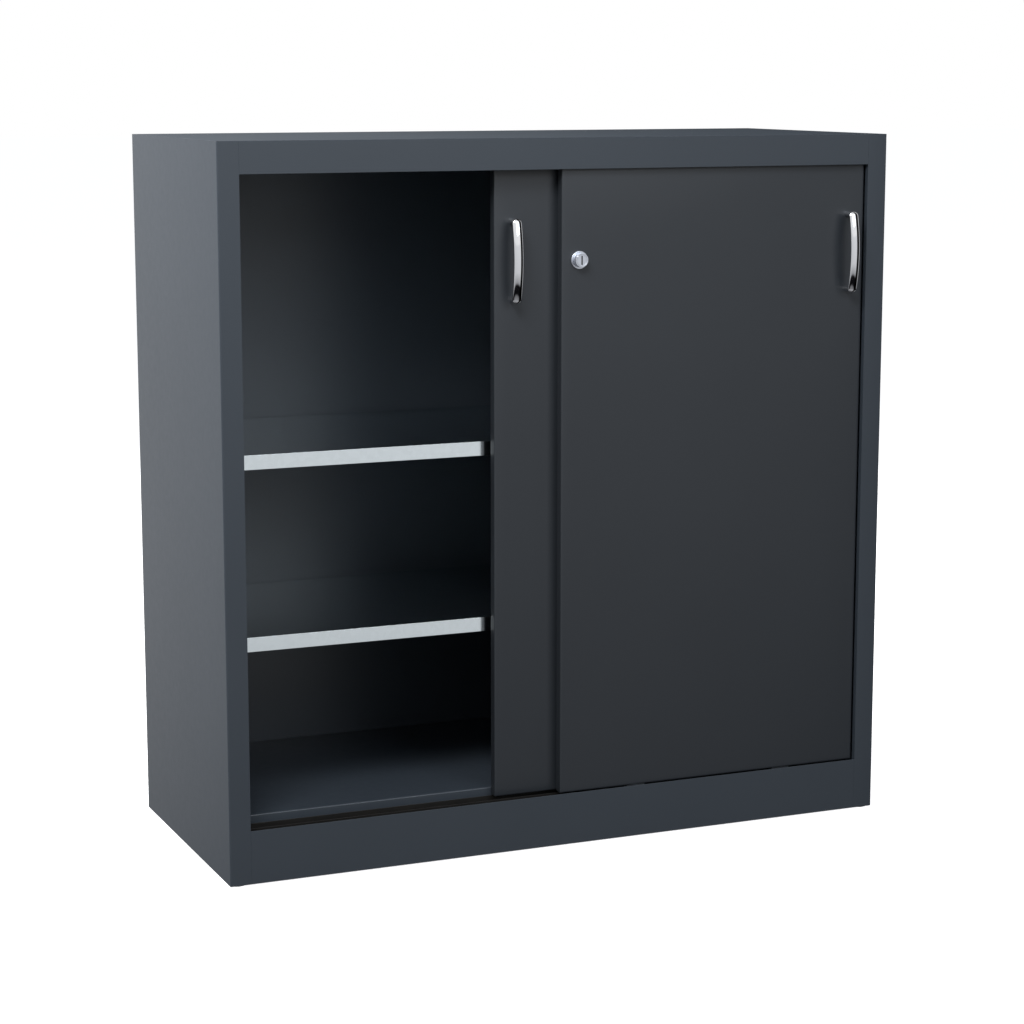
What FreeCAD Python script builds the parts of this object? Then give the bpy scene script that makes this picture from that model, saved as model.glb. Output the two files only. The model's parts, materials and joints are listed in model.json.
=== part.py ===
import FreeCAD, Part
import math
import os
import re

import Sketcher

# A steel cabinet with two sliding doors, two shelves and a push lock.
# X runs to the right, Y to the back and Z up, in millimetres.
# The origin is on the ground, midway between the sides and midway between the
# handles' outermost face and the back.

Vector = FreeCAD.Vector
doc = FreeCAD.newDocument("sliding_door_cabinet")

# ---------------------------------------------------------------------------
# Driving dimensions: each is one cell of the sheet, named by its alias.
# ---------------------------------------------------------------------------
SIZES = {
    # carcass
    "cabinet_width": 1000,
    "cabinet_depth": 420,
    "cabinet_height": 1000,
    "gauge": 1,
    "bend_radius": 1,
    "stile_width": 30,
    "stile_return": 8,
    "top_rail_height": 43,
    "rail_return": 6,
    "plinth_height": 76,
    "rear_flange": 20,
    "base_flange": 24,
    "weld_flange": 15,
    "fit_gap": 0.5,
    "back_recess": 5,
    "floor_height": 86,
    "floor_setback": 43,
    "brace_width": 40,
    "brace_depth": 12,
    "brace_end_gap": 12,
    # corner glides
    "glide_height": 1.5,
    "glide_radius": 12,
    "glide_inset": 14,
    "glide_stem_radius": 4,
    "glide_stem_length": 5,
    "glide_hole_clearance": 0.1,
    # shelves, uprights and clips
    "shelf_pitch": 25,
    "lower_shelf_rise": 245,
    "slots_between_shelves": 10,
    "slots_below_shelf": 8,
    "shelf_setback": 53.5,
    "shelf_edge": 20,
    "shelf_lip": 12,
    "shelf_side_gap": 1.5,
    "shelf_rear_gap": 1,
    "shelf_brace_width": 50,
    "shelf_brace_depth": 12,
    "upright_gauge": 1.2,
    "upright_width": 24,
    "upright_depth": 8,
    "upright_front_inset": 70,
    "upright_rear_inset": 16,
    "clip_width": 11,
    "clip_gauge": 2,
    "slot_side_play": 0.5,
    "slot_rise": 2,
    "clip_ledge": 14,
    "clip_hook": 8,
    # doors
    "front_setback": 8,
    "door_pitch": 20,
    "door_depth": 13,
    "door_overlap": 17,
    "door_gap": 1.5,
    "door_reveal": 1,
    "door_head_overlap": 18,
    "handle_spare": 58.75,
    "stiffener_width": 60,
    "stiffener_end_gap": 25,
    "stiffener_back_gap": 1,
    # rollers, brackets and the lower track
    "roller_radius": 11,
    "roller_width": 5,
    "roller_rim": 2,
    "roller_hub_radius": 4,
    "roller_web": 2.4,
    "roller_inset": 120,
    "roller_gap": 0.2,
    "axle_rise": 0.2,
    "axle_radius": 2,
    "axle_clearance": 0.05,
    "axle_head_radius": 3.2,
    "axle_head": 1,
    "bracket_gauge": 1.2,
    "bracket_overhang": 3,
    "bracket_back_gap": 2.4,
    "bracket_drop": 5,
    "bracket_head_gap": 3.8,
    "bracket_slot_gap": 1,
    "track_base": 3,
    "track_wall": 1.2,
    "track_front_wall_gap": 3.5,
    "track_outer_rise": 6,
    "track_middle_rise": 8,
    "track_rear_rise": 10,
    # guides, stops and the upper track
    "upper_track_base": 2,
    "upper_track_drop": 15,
    "upper_track_wall": 1.5,
    "channel_width": 9,
    "guide_clearance": 0.5,
    "guide_length": 50,
    "guide_inset": 60,
    "guide_foot": 2,
    "guide_head_gap": 5,
    "guide_peg_radius": 2.5,
    "guide_peg_length": 6,
    "guide_peg_clearance": 0.1,
    "stop_length": 20,
    "stop_gap": 0.3,
    "stop_drop": 13,
    "left_overtravel": 30,
    "handle_stop_gap": 6.25,
    "track_screw_radius": 1.5,
    "track_screw_head_radius": 3,
    "track_screw_head": 1.6,
    "track_screw_inset": 150,
    # handles
    "handle_length": 117,
    "handle_width": 14.5,
    "handle_thickness": 7,
    "handle_projection": 28,
    "handle_bow": 8,
    "handle_leg_radius": 4,
    "handle_leg_inset": 5,
    "handle_edge_inset": 26.5,
    "handle_drop": 142.5,
    "handle_round": 3,
    "handle_screw_radius": 2,
    "handle_screw_depth": 10,
    "handle_screw_clearance": 0.05,
    "handle_hole_clearance": 0.3,
    "screw_head_radius": 4,
    "screw_head": 2.6,
    # lock
    "lock_inset": 26.2,
    "lock_travel": 6,
    "rosette_lip": 1.35,
    "rosette_thickness": 2,
    "housing_wall": 1.25,
    "housing_length": 12.5,
    "housing_end": 1,
    "housing_clearance": 0.05,
    "plunger_wall": 1.9,
    "plunger_projection": 10,
    "plunger_end_gap": 0.5,
    "plunger_floor": 4,
    "plug_radius": 7.75,
    "plug_clearance": 0.05,
    "plug_end_gap": 0.2,
    "keyway_length": 12.6,
    "keyway_width": 1.8,
    "keyway_depth": 9,
    "bolt_radius": 4,
    "bolt_spigot_radius": 2.5,
    "bolt_spigot_length": 3,
    "spigot_clearance": 0.02,
    "spring_wire_radius": 0.35,
    "spring_seat_gap": 0.05,
    "spring_pitch": 1.6,
    "spring_wall_gap": 0.8,
    "spring_bolt_gap": 0.85,
    "nut_wall": 4.5,
    "nut_thickness": 3,
    "nut_clearance": 0.05,
    "strike_height": 30,
    "strike_plate": 1.5,
    "strike_rise": 4,
    "strike_cover": 11,
    "strike_gap": 1.7,
    "strike_nose_width": 7.5,
}

# Places worked out from the sizes above, each written as a formula in their names.
PLACES = {
    "half_width": "cabinet_width / 2",
    "inner_half": "half_width - gauge",
    "opening_half": "half_width - stile_width",
    "inside_half": "inner_half - gauge - fit_gap",
    "front": "-(cabinet_depth - handle_projection + front_setback) / 2",
    "back": "front + cabinet_depth",
    "back_face": "back - back_recess",
    "outer_bend": "bend_radius + gauge",
    "ceiling": "cabinet_height - gauge",
    "base": "glide_height",
    "glide_x": "half_width - glide_inset",
    "glide_hole_radius": "glide_stem_radius + glide_hole_clearance",
    "floor_front": "front + floor_setback",
    "shelf_half": "inner_half - upright_depth - shelf_side_gap",
    "shelf_front": "front + shelf_setback",
    "shelf_back": "back_face - shelf_rear_gap",
    "upper_shelf_rise": "lower_shelf_rise + slots_between_shelves * shelf_pitch",
    "upright_face": "inner_half - upright_depth",
    "slot_width": "clip_width + 2 * slot_side_play",
    "slot_height": "clip_gauge + slot_rise",
    "first_slot": "floor_height + lower_shelf_rise - shelf_edge - clip_gauge"
                  " - slots_below_shelf * shelf_pitch",
    "upright_top": "cabinet_height - top_rail_height",
    "front_upright_y": "front + upright_front_inset",
    "rear_upright_y": "back_face - upright_rear_inset - upright_width",
    "door_bottom": "plinth_height - door_reveal",
    "door_top": "cabinet_height - top_rail_height + door_head_overlap",
    "door_height": "door_top - door_bottom",
    "front_door_y": "front + front_setback",
    "rear_door_y": "front_door_y + door_pitch",
    "door_width": "opening_half - door_gap + door_overlap / 2",
    "right_door_x": "opening_half - door_gap - door_width",
    "left_shut_x": "door_gap - opening_half",
    "left_door_x": "right_door_x - handle_spare - handle_width / 2 - handle_edge_inset",
    "right_travel": "right_door_x - left_shut_x - handle_edge_inset - handle_width / 2"
                    " - handle_stop_gap",
    "axle_z": "door_bottom + axle_rise",
    "track_floor": "axle_z - roller_radius - roller_gap",
    "track_bed": "track_floor - track_base",
    "bracket_back": "door_depth - bracket_back_gap",
    "bracket_length": "2 * (roller_radius + bracket_overhang)",
    "bracket_rise": "roller_radius + bracket_head_gap + bracket_gauge",
    "channel_top": "ceiling - upper_track_base",
    "guide_width": "channel_width - 2 * guide_clearance",
    "handle_rise": "door_height - handle_drop",
    "handle_end_projection": "handle_projection - handle_bow",
    "handle_leg_spacing": "handle_length - 2 * handle_leg_inset",
    "plunger_bore": "plug_radius + plug_clearance",
    "plunger_radius": "plunger_bore + plunger_wall",
    "plunger_depth": "housing_length - housing_end - lock_travel - plunger_end_gap",
    "housing_bore": "plunger_radius + housing_clearance",
    "housing_radius": "housing_bore + housing_wall",
    "rosette_radius": "housing_radius + rosette_lip",
    "nut_circumradius": "housing_radius + nut_wall",
    "bolt_bore": "bolt_radius + housing_clearance",
    "bolt_end": "housing_length",
    "bolt_shoulder": "plunger_depth",
    "spring_height": "housing_length - housing_end - plunger_depth - 2 * spring_end_gap",
    "spring_end_gap": "spring_wire_radius + spring_seat_gap",
    "spring_large_radius": "housing_bore - spring_wire_radius - spring_wall_gap",
    "spring_small_radius": "bolt_radius + spring_wire_radius + spring_bolt_gap",
    "strike_nose": "right_door_x + lock_inset - bolt_radius - strike_gap"
                   " - left_shut_x - door_width",
}

# Functions that formulas may call.
FUNCTIONS = ("floor", "atan")

sheet = doc.addObject("Spreadsheet::Sheet", "sizes")
for row, (alias, number) in enumerate(SIZES.items(), start=1):
    sheet.set(f"A{row}", alias)
    sheet.set(f"B{row}", str(number))
    sheet.setAlias(f"B{row}", alias)
doc.recompute()


def bind(formula):
    """Turn a formula in the names above into an expression on the sheet's cells."""

    def expand(match):
        word = match.group()
        if word in PLACES:
            return f"({bind(PLACES[word])})"
        if word in SIZES:
            return f"sizes.{word}"
        if word in FUNCTIONS:
            return word
        raise KeyError(word)

    return re.sub(r"[a-z][a-z_]+", expand, formula)


def size(alias):
    """Read one driving dimension as a number."""
    return float(sheet.get(alias))


parts = {}


def publish(node, item):
    """Name a finished sub-part; its label is also its file's name."""
    item.Label = node
    parts[node] = item
    return item


# ---------------------------------------------------------------------------
# Helpers: sketches and features of a body
# ---------------------------------------------------------------------------
def new_body(name, place=("0", "0", "0")):
    """Start a body whose own origin stands at the given place."""
    body = doc.addObject("PartDesign::Body", name)
    put(body, place)
    return body


def put(item, place):
    """Bind an object's position to three formulas."""
    for axis, formula in zip("xyz", place):
        item.setExpression(f"Placement.Base.{axis}", bind(formula))


def new_sketch(body, plane, offset="0"):
    """Attach an empty sketch to one of the body's origin planes."""
    support = next(f for f in body.Origin.OriginFeatures if f.Role == plane)
    sketch = body.newObject("Sketcher::SketchObject", f"{body.Name}_sketch")
    sketch.AttachmentSupport = [(support, "")]
    sketch.MapMode = "FlatFace"
    sketch.setExpression("AttachmentOffset.Base.z", bind(offset))
    return sketch


def fix(sketch, kind, *where, start, formula):
    """Add one constraint at its drawn value and bind it to a formula."""
    index = sketch.addConstraint(Sketcher.Constraint(kind, *where, start))
    sketch.setExpression(f"Constraints[{index}]", bind(formula))


def fix_point(sketch, curve, end, point):
    """Hold a curve's end point at two formulas, measured from the sketch's origin."""
    drawn = sketch.getPoint(curve, end)
    fix(sketch, "DistanceX", -1, 1, curve, end, start=drawn.x, formula=point[0])
    fix(sketch, "DistanceY", -1, 1, curve, end, start=drawn.y, formula=point[1])


def add_outline(sketch, points):
    """Draw a closed outline of straight lines through the given points."""
    first = sketch.GeometryCount
    count = len(points)
    ring = [Vector(math.cos(2 * math.pi * i / count), math.sin(2 * math.pi * i / count), 0)
            for i in range(count)]
    for i in range(count):
        sketch.addGeometry(Part.LineSegment(ring[i], ring[(i + 1) % count]), False)
    for i in range(count):
        following = first + (i + 1) % count
        sketch.addConstraint(Sketcher.Constraint("Coincident", first + i, 2, following, 1))
    for i, point in enumerate(points):
        fix_point(sketch, first + i, 1, point)


def add_rectangle(sketch, left, low, right, high):
    """Draw a rectangle between two corners."""
    add_outline(sketch, [(left, low), (right, low), (right, high), (left, high)])


def add_circle(sketch, centre, radius):
    """Draw a circle."""
    curve = sketch.addGeometry(Part.Circle(Vector(1, 1, 0), Vector(0, 0, 1), 1), False)
    fix_point(sketch, curve, 3, centre)
    fix(sketch, "Radius", curve, start=1.0, formula=radius)


def pad(body, sketch, length, midplane=False, reverse=False):
    """Give a sketch its thickness."""
    feature = body.newObject("PartDesign::Pad", f"{body.Name}_pad")
    feature.Profile = sketch
    feature.setExpression("Length", bind(length))
    feature.Midplane = midplane
    feature.Reversed = reverse
    return feature


def pocket(body, sketch, depth=None):
    """Cut a sketch out of the body, to a depth on both sides of its plane or right through."""
    before = body.Shape.Volume
    feature = body.newObject("PartDesign::Pocket", f"{body.Name}_pocket")
    feature.Profile = sketch
    feature.Midplane = True
    if depth is None:
        feature.Type = "ThroughAll"
    else:
        feature.setExpression("Length", bind(f"2 * ({depth})"))
    doc.recompute()
    if body.Shape.Volume >= before:
        raise RuntimeError(f"{feature.Label} removes nothing")
    return feature


def revolve(body, profile):
    """Turn a profile of (Y, radius) points about the body's Y axis."""
    sketch = new_sketch(body, "YZ_Plane")
    add_outline(sketch, profile)
    feature = body.newObject("PartDesign::Revolution", f"{body.Name}_turned")
    feature.Profile = sketch
    feature.ReferenceAxis = (sketch, ["H_Axis"])
    feature.Angle = 360
    return feature


def is_line(edge, axis):
    """Tell whether an edge is straight and runs along one axis."""
    if edge.Degenerated or edge.Curve.TypeId != "Part::GeomLine":
        return False
    return abs(getattr(edge.Curve.Direction, axis)) > 0.999


def near(one, other):
    """Compare two lengths."""
    return abs(one - other) < 1e-4


def fillet(body, radius, chosen):
    """Round the edges of the body that a test picks out."""
    doc.recompute()
    base = body.Tip
    names = [f"Edge{i}" for i, edge in enumerate(base.Shape.Edges, start=1) if chosen(edge)]
    feature = body.newObject("PartDesign::Fillet", f"{body.Name}_round")
    feature.Base = (base, names)
    feature.setExpression("Radius", bind(radius))
    doc.recompute()
    return feature


# ---------------------------------------------------------------------------
# Helpers: primitives and groups
# ---------------------------------------------------------------------------
def block(name, corner, extent):
    """Make a box from its lowest corner and its extent, all formulas."""
    box = doc.addObject("Part::Box", name)
    for side, formula in zip(("Length", "Width", "Height"), extent):
        box.setExpression(side, bind(formula))
    put(box, corner)
    return box


def rod(name, centre, radius, height, axis="z"):
    """Make a cylinder that starts at a centre and runs along +Z or +Y."""
    cylinder = doc.addObject("Part::Cylinder", name)
    cylinder.setExpression("Radius", bind(radius))
    cylinder.setExpression("Height", bind(height))
    if axis == "y":
        cylinder.Placement = FreeCAD.Placement(Vector(), FreeCAD.Rotation(Vector(1, 0, 0), -90))
    put(cylinder, centre)
    return cylinder


def fuse(name, shapes):
    """Join shapes that touch into one solid."""
    joined = doc.addObject("Part::MultiFuse", name)
    joined.Shapes = shapes
    joined.Refine = True
    return joined


def cut(name, base, tool):
    """Take one shape out of another."""
    result = doc.addObject("Part::Cut", name)
    result.Base = base
    result.Tool = tool
    return result


def group(name, links):
    """Keep several separate solids together as one sub-part."""
    compound = doc.addObject("Part::Compound", name)
    compound.Links = links
    return compound


def shifted(place, *offset):
    """Add an offset to a place."""
    return tuple(f"{start} + {more}" for start, more in zip(place, offset))


# ---------------------------------------------------------------------------
# Carcass
# ---------------------------------------------------------------------------
def side_panel(node, side):
    """A side sheet folded round the front into a stile, and round the back into a flange."""
    body = new_body(node)
    half = f"{side} * half_width"
    inner = f"{side} * inner_half"
    plan = new_sketch(body, "XY_Plane", "base")
    add_outline(plan, [
        (half, "front"),
        (half, "back"),
        (f"{side} * (half_width - rear_flange)", "back"),
        (f"{side} * (half_width - rear_flange)", "back - gauge"),
        (inner, "back - gauge"),
        (inner, "front + gauge"),
        (f"{side} * (opening_half + gauge)", "front + gauge"),
        (f"{side} * (opening_half + gauge)", "front + stile_return"),
        (f"{side} * opening_half", "front + stile_return"),
        (f"{side} * opening_half", "front"),
    ])
    pad(body, plan, "cabinet_height - base")
    outer_face = size("cabinet_width") / 2
    fillet(body, "outer_bend", lambda edge: is_line(edge, "z")
           and near(abs(edge.CenterOfMass.x), outer_face))
    fillet(body, "bend_radius", lambda edge: is_line(edge, "z")
           and near(abs(edge.CenterOfMass.x), outer_face - size("gauge")))
    flange = new_sketch(body, "XY_Plane", "base")
    add_rectangle(flange, f"{side} * (half_width - base_flange)", "front + gauge + bend_radius",
                  inner, "back - gauge - bend_radius")
    pad(body, flange, "gauge")
    doc.recompute()
    holes = new_sketch(body, "XY_Plane", "base")
    for y in ("front + glide_inset", "back - glide_inset"):
        add_circle(holes, (f"{side} * glide_x", y), "glide_hole_radius")
    pocket(body, holes, "2 * gauge")
    notch = new_sketch(body, "XY_Plane", "cabinet_height")
    add_rectangle(notch, f"{side} * opening_half", "front + gauge",
                  f"{side} * (opening_half + gauge)", "front + stile_return")
    pocket(body, notch, "gauge")
    return publish(node, body)


def top_panel():
    """The top sheet with its front rail, a rear flange and two welding flanges."""
    body = new_body("top_panel")
    sheet_profile = new_sketch(body, "YZ_Plane")
    add_rectangle(sheet_profile, "front + gauge", "ceiling", "back - gauge", "cabinet_height")
    pad(body, sheet_profile, "2 * inner_half", midplane=True)
    fillet(body, "bend_radius", lambda edge: is_line(edge, "z"))
    rail = new_sketch(body, "YZ_Plane")
    add_outline(rail, [
        ("front", "cabinet_height"),
        ("front + gauge", "cabinet_height"),
        ("front + gauge", "cabinet_height - top_rail_height + gauge"),
        ("front + rail_return", "cabinet_height - top_rail_height + gauge"),
        ("front + rail_return", "cabinet_height - top_rail_height"),
        ("front", "cabinet_height - top_rail_height"),
    ])
    pad(body, rail, "2 * opening_half", midplane=True)
    rear = new_sketch(body, "YZ_Plane")
    add_rectangle(rear, "back - gauge", "cabinet_height - rear_flange", "back", "cabinet_height")
    pad(body, rear, "2 * (half_width - rear_flange)", midplane=True)
    flanges = new_sketch(body, "XY_Plane", "ceiling")
    for side in ("-1", "1"):
        add_rectangle(flanges, f"{side} * inner_half", "front + stile_return",
                      f"{side} * (inner_half - gauge)", "back_face - fit_gap")
    pad(body, flanges, "weld_flange", reverse=True)
    return publish("top_panel", body)


def plinth_rail():
    """The bottom front rail between the stiles, with its foot folded back."""
    body = new_body("plinth_rail")
    profile = new_sketch(body, "YZ_Plane")
    add_outline(profile, [
        ("front", "base"),
        ("front", "plinth_height"),
        ("front + gauge", "plinth_height"),
        ("front + gauge", "base + gauge"),
        ("front + base_flange", "base + gauge"),
        ("front + base_flange", "base"),
    ])
    pad(body, profile, "2 * opening_half", midplane=True)
    return publish("plinth_rail", body)


def floor_panel():
    """The floor sheet, folded down at its front and forward as a bed for the lower track."""
    body = new_body("floor_panel")
    profile = new_sketch(body, "YZ_Plane")
    add_outline(profile, [
        ("floor_front", "floor_height"),
        ("back_face", "floor_height"),
        ("back_face", "floor_height - gauge"),
        ("floor_front + gauge", "floor_height - gauge"),
        ("floor_front + gauge", "track_bed - gauge"),
        ("floor_front", "track_bed - gauge"),
    ])
    pad(body, profile, "2 * inner_half", midplane=True)
    top_face = size("floor_height")
    fillet(body, "outer_bend", lambda edge: is_line(edge, "x")
           and near(edge.CenterOfMass.z, top_face) and edge.CenterOfMass.y < 0)
    fillet(body, "bend_radius", lambda edge: is_line(edge, "x")
           and near(edge.CenterOfMass.z, top_face - size("gauge")) and edge.CenterOfMass.y < 0)
    bed = new_sketch(body, "YZ_Plane")
    add_rectangle(bed, "front + gauge", "track_bed - gauge", "floor_front + gauge", "track_bed")
    pad(body, bed, "2 * opening_half", midplane=True)
    flanges = new_sketch(body, "XY_Plane", "floor_height - gauge")
    for side in ("-1", "1"):
        add_rectangle(flanges, f"{side} * inner_half", "floor_front + outer_bend",
                      f"{side} * (inner_half - gauge)", "back_face - fit_gap")
    pad(body, flanges, "weld_flange", reverse=True)
    return publish("floor_panel", body)


def back_panel():
    """The back, a shallow tray whose rim stands against the rear flanges."""
    body = new_body("back_panel")
    low = "base + gauge + fit_gap"
    high = "ceiling - fit_gap"
    outer = new_sketch(body, "XZ_Plane", "-(back_face)")
    add_rectangle(outer, "-(inside_half)", low, "inside_half", high)
    pad(body, outer, "back_recess - gauge", reverse=True)
    doc.recompute()
    inner = new_sketch(body, "XZ_Plane", "-(back - gauge)")
    add_rectangle(inner, "-(inside_half - gauge)", f"{low} + gauge",
                  "inside_half - gauge", f"{high} - gauge")
    pocket(body, inner, "back_recess - 2 * gauge")
    return publish("back_panel", body)


def channel_brace(node, across, width, depth, top, half_length):
    """An upturned channel under a sheet, running from side to side."""
    body = new_body(node)
    profile = new_sketch(body, "YZ_Plane")
    fore = f"{across} - {width} / 2"
    aft = f"{across} + {width} / 2"
    low = f"{top} - {depth}"
    add_outline(profile, [
        (fore, top),
        (fore, low),
        (aft, low),
        (aft, top),
        (f"{aft} - gauge", top),
        (f"{aft} - gauge", f"{low} + gauge"),
        (f"{fore} + gauge", f"{low} + gauge"),
        (f"{fore} + gauge", top),
    ])
    pad(body, profile, f"2 * ({half_length})", midplane=True)
    return publish(node, body)


def corner_glides():
    """Four plastic glides, each a disc with a stem through the base flange."""
    glides = []
    for side in ("-1", "1"):
        for y in ("front + glide_inset", "back - glide_inset"):
            number = len(glides) + 1
            disc = rod(f"glide_disc_{number}", (f"{side} * glide_x", y, "0"),
                       "glide_radius", "glide_height")
            stem = rod(f"glide_stem_{number}", (f"{side} * glide_x", y, "0"),
                       "glide_stem_radius", "glide_height + glide_stem_length")
            glides.append(fuse(f"glide_{number}", [disc, stem]))
    return publish("corner_glides", group("glides", glides))


# ---------------------------------------------------------------------------
# Uprights, clips and shelves
# ---------------------------------------------------------------------------
def upright(node, side, y):
    """A channel on the side sheet with a ladder of slots for the clips."""
    body = new_body(node)
    wall = f"{side} * inner_half"
    face = f"{side} * upright_face"
    inside = f"{side} * (upright_face + upright_gauge)"
    plan = new_sketch(body, "XY_Plane", "floor_height")
    add_outline(plan, [
        (wall, y),
        (face, y),
        (face, f"{y} + upright_width"),
        (wall, f"{y} + upright_width"),
        (wall, f"{y} + upright_width - upright_gauge"),
        (inside, f"{y} + upright_width - upright_gauge"),
        (inside, f"{y} + upright_gauge"),
        (wall, f"{y} + upright_gauge"),
    ])
    pad(body, plan, "upright_top - floor_height")
    doc.recompute()
    slot = new_sketch(body, "YZ_Plane")
    middle = f"{y} + upright_width / 2"
    add_rectangle(slot, f"{middle} - slot_width / 2", "first_slot",
                  f"{middle} + slot_width / 2", "first_slot + slot_height")
    hole = pocket(body, slot)
    ladder = body.newObject("PartDesign::LinearPattern", f"{node}_ladder")
    ladder.Originals = [hole]
    ladder.Direction = (slot, ["V_Axis"])
    steps = "floor((upright_top - first_slot - 2 * slot_height) / shelf_pitch)"
    ladder.setExpression("Occurrences", bind(f"{steps} + 1"))
    ladder.setExpression("Length", bind(f"{steps} * shelf_pitch"))
    body.Tip = ladder
    return publish(node, body)


def shelf_clip(name, side, middle, ledge):
    """A clip: a ledge through the slot and a hook up behind the upright's face."""
    far = "upright_gauge + clip_gauge"
    reach = f"clip_ledge + {far}"
    start = "upright_face - clip_ledge" if side == "1" else f"-(upright_face) - ({far})"
    hook_x = "upright_face + upright_gauge" if side == "1" else f"-(upright_face) - ({far})"
    y = f"{middle} - clip_width / 2"
    tongue = block(f"{name}_ledge", (start, y, f"{ledge} - clip_gauge"),
                   (reach, "clip_width", "clip_gauge"))
    hook = block(f"{name}_hook", (hook_x, y, f"{ledge} - clip_gauge"),
                 ("clip_gauge", "clip_width", "clip_hook"))
    return fuse(name, [tongue, hook])


def shelf_clips():
    """Eight clips: two on each upright, one under each shelf."""
    clips = []
    for rise in ("lower_shelf_rise", "upper_shelf_rise"):
        for side in ("-1", "1"):
            for y in ("front_upright_y", "rear_upright_y"):
                clips.append(shelf_clip(f"clip_{len(clips) + 1}", side,
                                        f"{y} + upright_width / 2",
                                        f"floor_height + {rise} - shelf_edge"))
    return publish("shelf_clips", group("clips", clips))


def shelf(node, rise):
    """A shelf folded down all round, with lips turned under at the front and the back."""
    body = new_body(node, ("0", "0", f"floor_height + {rise}"))
    outer = new_sketch(body, "XY_Plane")
    add_rectangle(outer, "-(shelf_half)", "shelf_front", "shelf_half", "shelf_back")
    pad(body, outer, "shelf_edge", reverse=True)
    doc.recompute()
    hollow = new_sketch(body, "XY_Plane", "-shelf_edge")
    add_rectangle(hollow, "-(shelf_half - gauge)", "shelf_front + gauge",
                  "shelf_half - gauge", "shelf_back - gauge")
    pocket(body, hollow, "shelf_edge - gauge")
    lips = new_sketch(body, "XY_Plane", "-shelf_edge")
    add_rectangle(lips, "-(shelf_half - gauge)", "shelf_front + gauge",
                  "shelf_half - gauge", "shelf_front + shelf_lip")
    add_rectangle(lips, "-(shelf_half - gauge)", "shelf_back - shelf_lip",
                  "shelf_half - gauge", "shelf_back - gauge")
    pad(body, lips, "gauge")
    return publish(node, body)


# ---------------------------------------------------------------------------
# Tracks and stops
# ---------------------------------------------------------------------------
def lower_track():
    """A double track on the floor's bed: one channel for each door's rollers."""
    body = new_body("lower_track")
    fore = "front + gauge + fit_gap"
    aft = "floor_front - fit_gap"
    middle = "(front_door_y + door_depth + rear_door_y) / 2"
    base = new_sketch(body, "YZ_Plane")
    add_rectangle(base, fore, "track_bed", aft, "track_floor")
    pad(body, base, "2 * (opening_half - fit_gap)", midplane=True)
    walls = new_sketch(body, "YZ_Plane")
    outer = "front_door_y - track_front_wall_gap"
    add_rectangle(walls, f"{outer} - track_wall", "track_floor",
                  outer, "track_floor + track_outer_rise")
    add_rectangle(walls, f"{middle} - track_wall / 2", "track_floor",
                  f"{middle} + track_wall / 2", "track_floor + track_middle_rise")
    add_rectangle(walls, f"{aft} - track_wall", "track_floor",
                  aft, "track_floor + track_rear_rise")
    pad(body, walls, "2 * (opening_half - fit_gap)", midplane=True)
    return publish("lower_track", body)


def upper_track():
    """A double channel under the top that steers the doors' guides."""
    body = new_body("upper_track")
    mids = ("front_door_y + door_depth / 2", "rear_door_y + door_depth / 2")
    base = new_sketch(body, "YZ_Plane")
    add_rectangle(base, f"{mids[0]} - channel_width / 2 - upper_track_wall", "channel_top",
                  f"{mids[1]} + channel_width / 2 + upper_track_wall", "ceiling")
    pad(body, base, "2 * inside_half", midplane=True)
    walls = new_sketch(body, "YZ_Plane")
    for middle in mids:
        for hand in ("-", "+"):
            near_side = f"{middle} {hand} channel_width / 2"
            far_side = f"{near_side} {hand} upper_track_wall"
            add_rectangle(walls, near_side, "channel_top - upper_track_drop",
                          far_side, "channel_top")
    pad(body, walls, "2 * inside_half", midplane=True)
    doc.recompute()
    holes = new_sketch(body, "XY_Plane", "ceiling")
    for middle in mids:
        for side in ("-1", "1"):
            add_circle(holes, (f"{side} * (half_width - track_screw_inset)", middle),
                       "track_screw_radius + axle_clearance")
    pocket(body, holes, "2 * upper_track_base")
    return publish("upper_track", body)


def upper_track_screws():
    """Four screws that hold the upper track under the top."""
    screws = []
    for middle in ("front_door_y + door_depth / 2", "rear_door_y + door_depth / 2"):
        for side in ("-1", "1"):
            name = f"track_screw_{len(screws) + 1}"
            x = f"{side} * (half_width - track_screw_inset)"
            head = rod(f"{name}_head", (x, middle, "channel_top - track_screw_head"),
                       "track_screw_head_radius", "track_screw_head")
            shank = rod(f"{name}_shank", (x, middle, "channel_top - track_screw_head"),
                        "track_screw_radius", "track_screw_head + upper_track_base")
            screws.append(fuse(name, [head, shank]))
    return publish("upper_track_screws", group("track_screws", screws))


def door_stops():
    """Rubber blocks in the upper track that end each door's travel both ways."""
    outer_end = "opening_half - door_gap - guide_inset + guide_length / 2 + stop_gap"
    left_inner = "left_door_x + door_width - guide_inset + guide_length / 2"
    right_inner = "right_door_x + guide_inset - guide_length / 2"
    spots = (
        (outer_end, "front_door_y"),
        (f"-({outer_end}) - stop_length", "rear_door_y"),
        (f"{left_inner} + left_overtravel + stop_gap", "rear_door_y"),
        (f"{right_inner} - right_travel - stop_gap - stop_length", "front_door_y"),
    )
    blocks = []
    for x, door in spots:
        corner = (x, f"{door} + door_depth / 2 - guide_width / 2", "channel_top - stop_drop")
        blocks.append(block(f"stop_{len(blocks) + 1}", corner,
                            ("stop_length", "guide_width", "stop_drop")))
    return publish("door_stops", group("stops", blocks))


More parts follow.
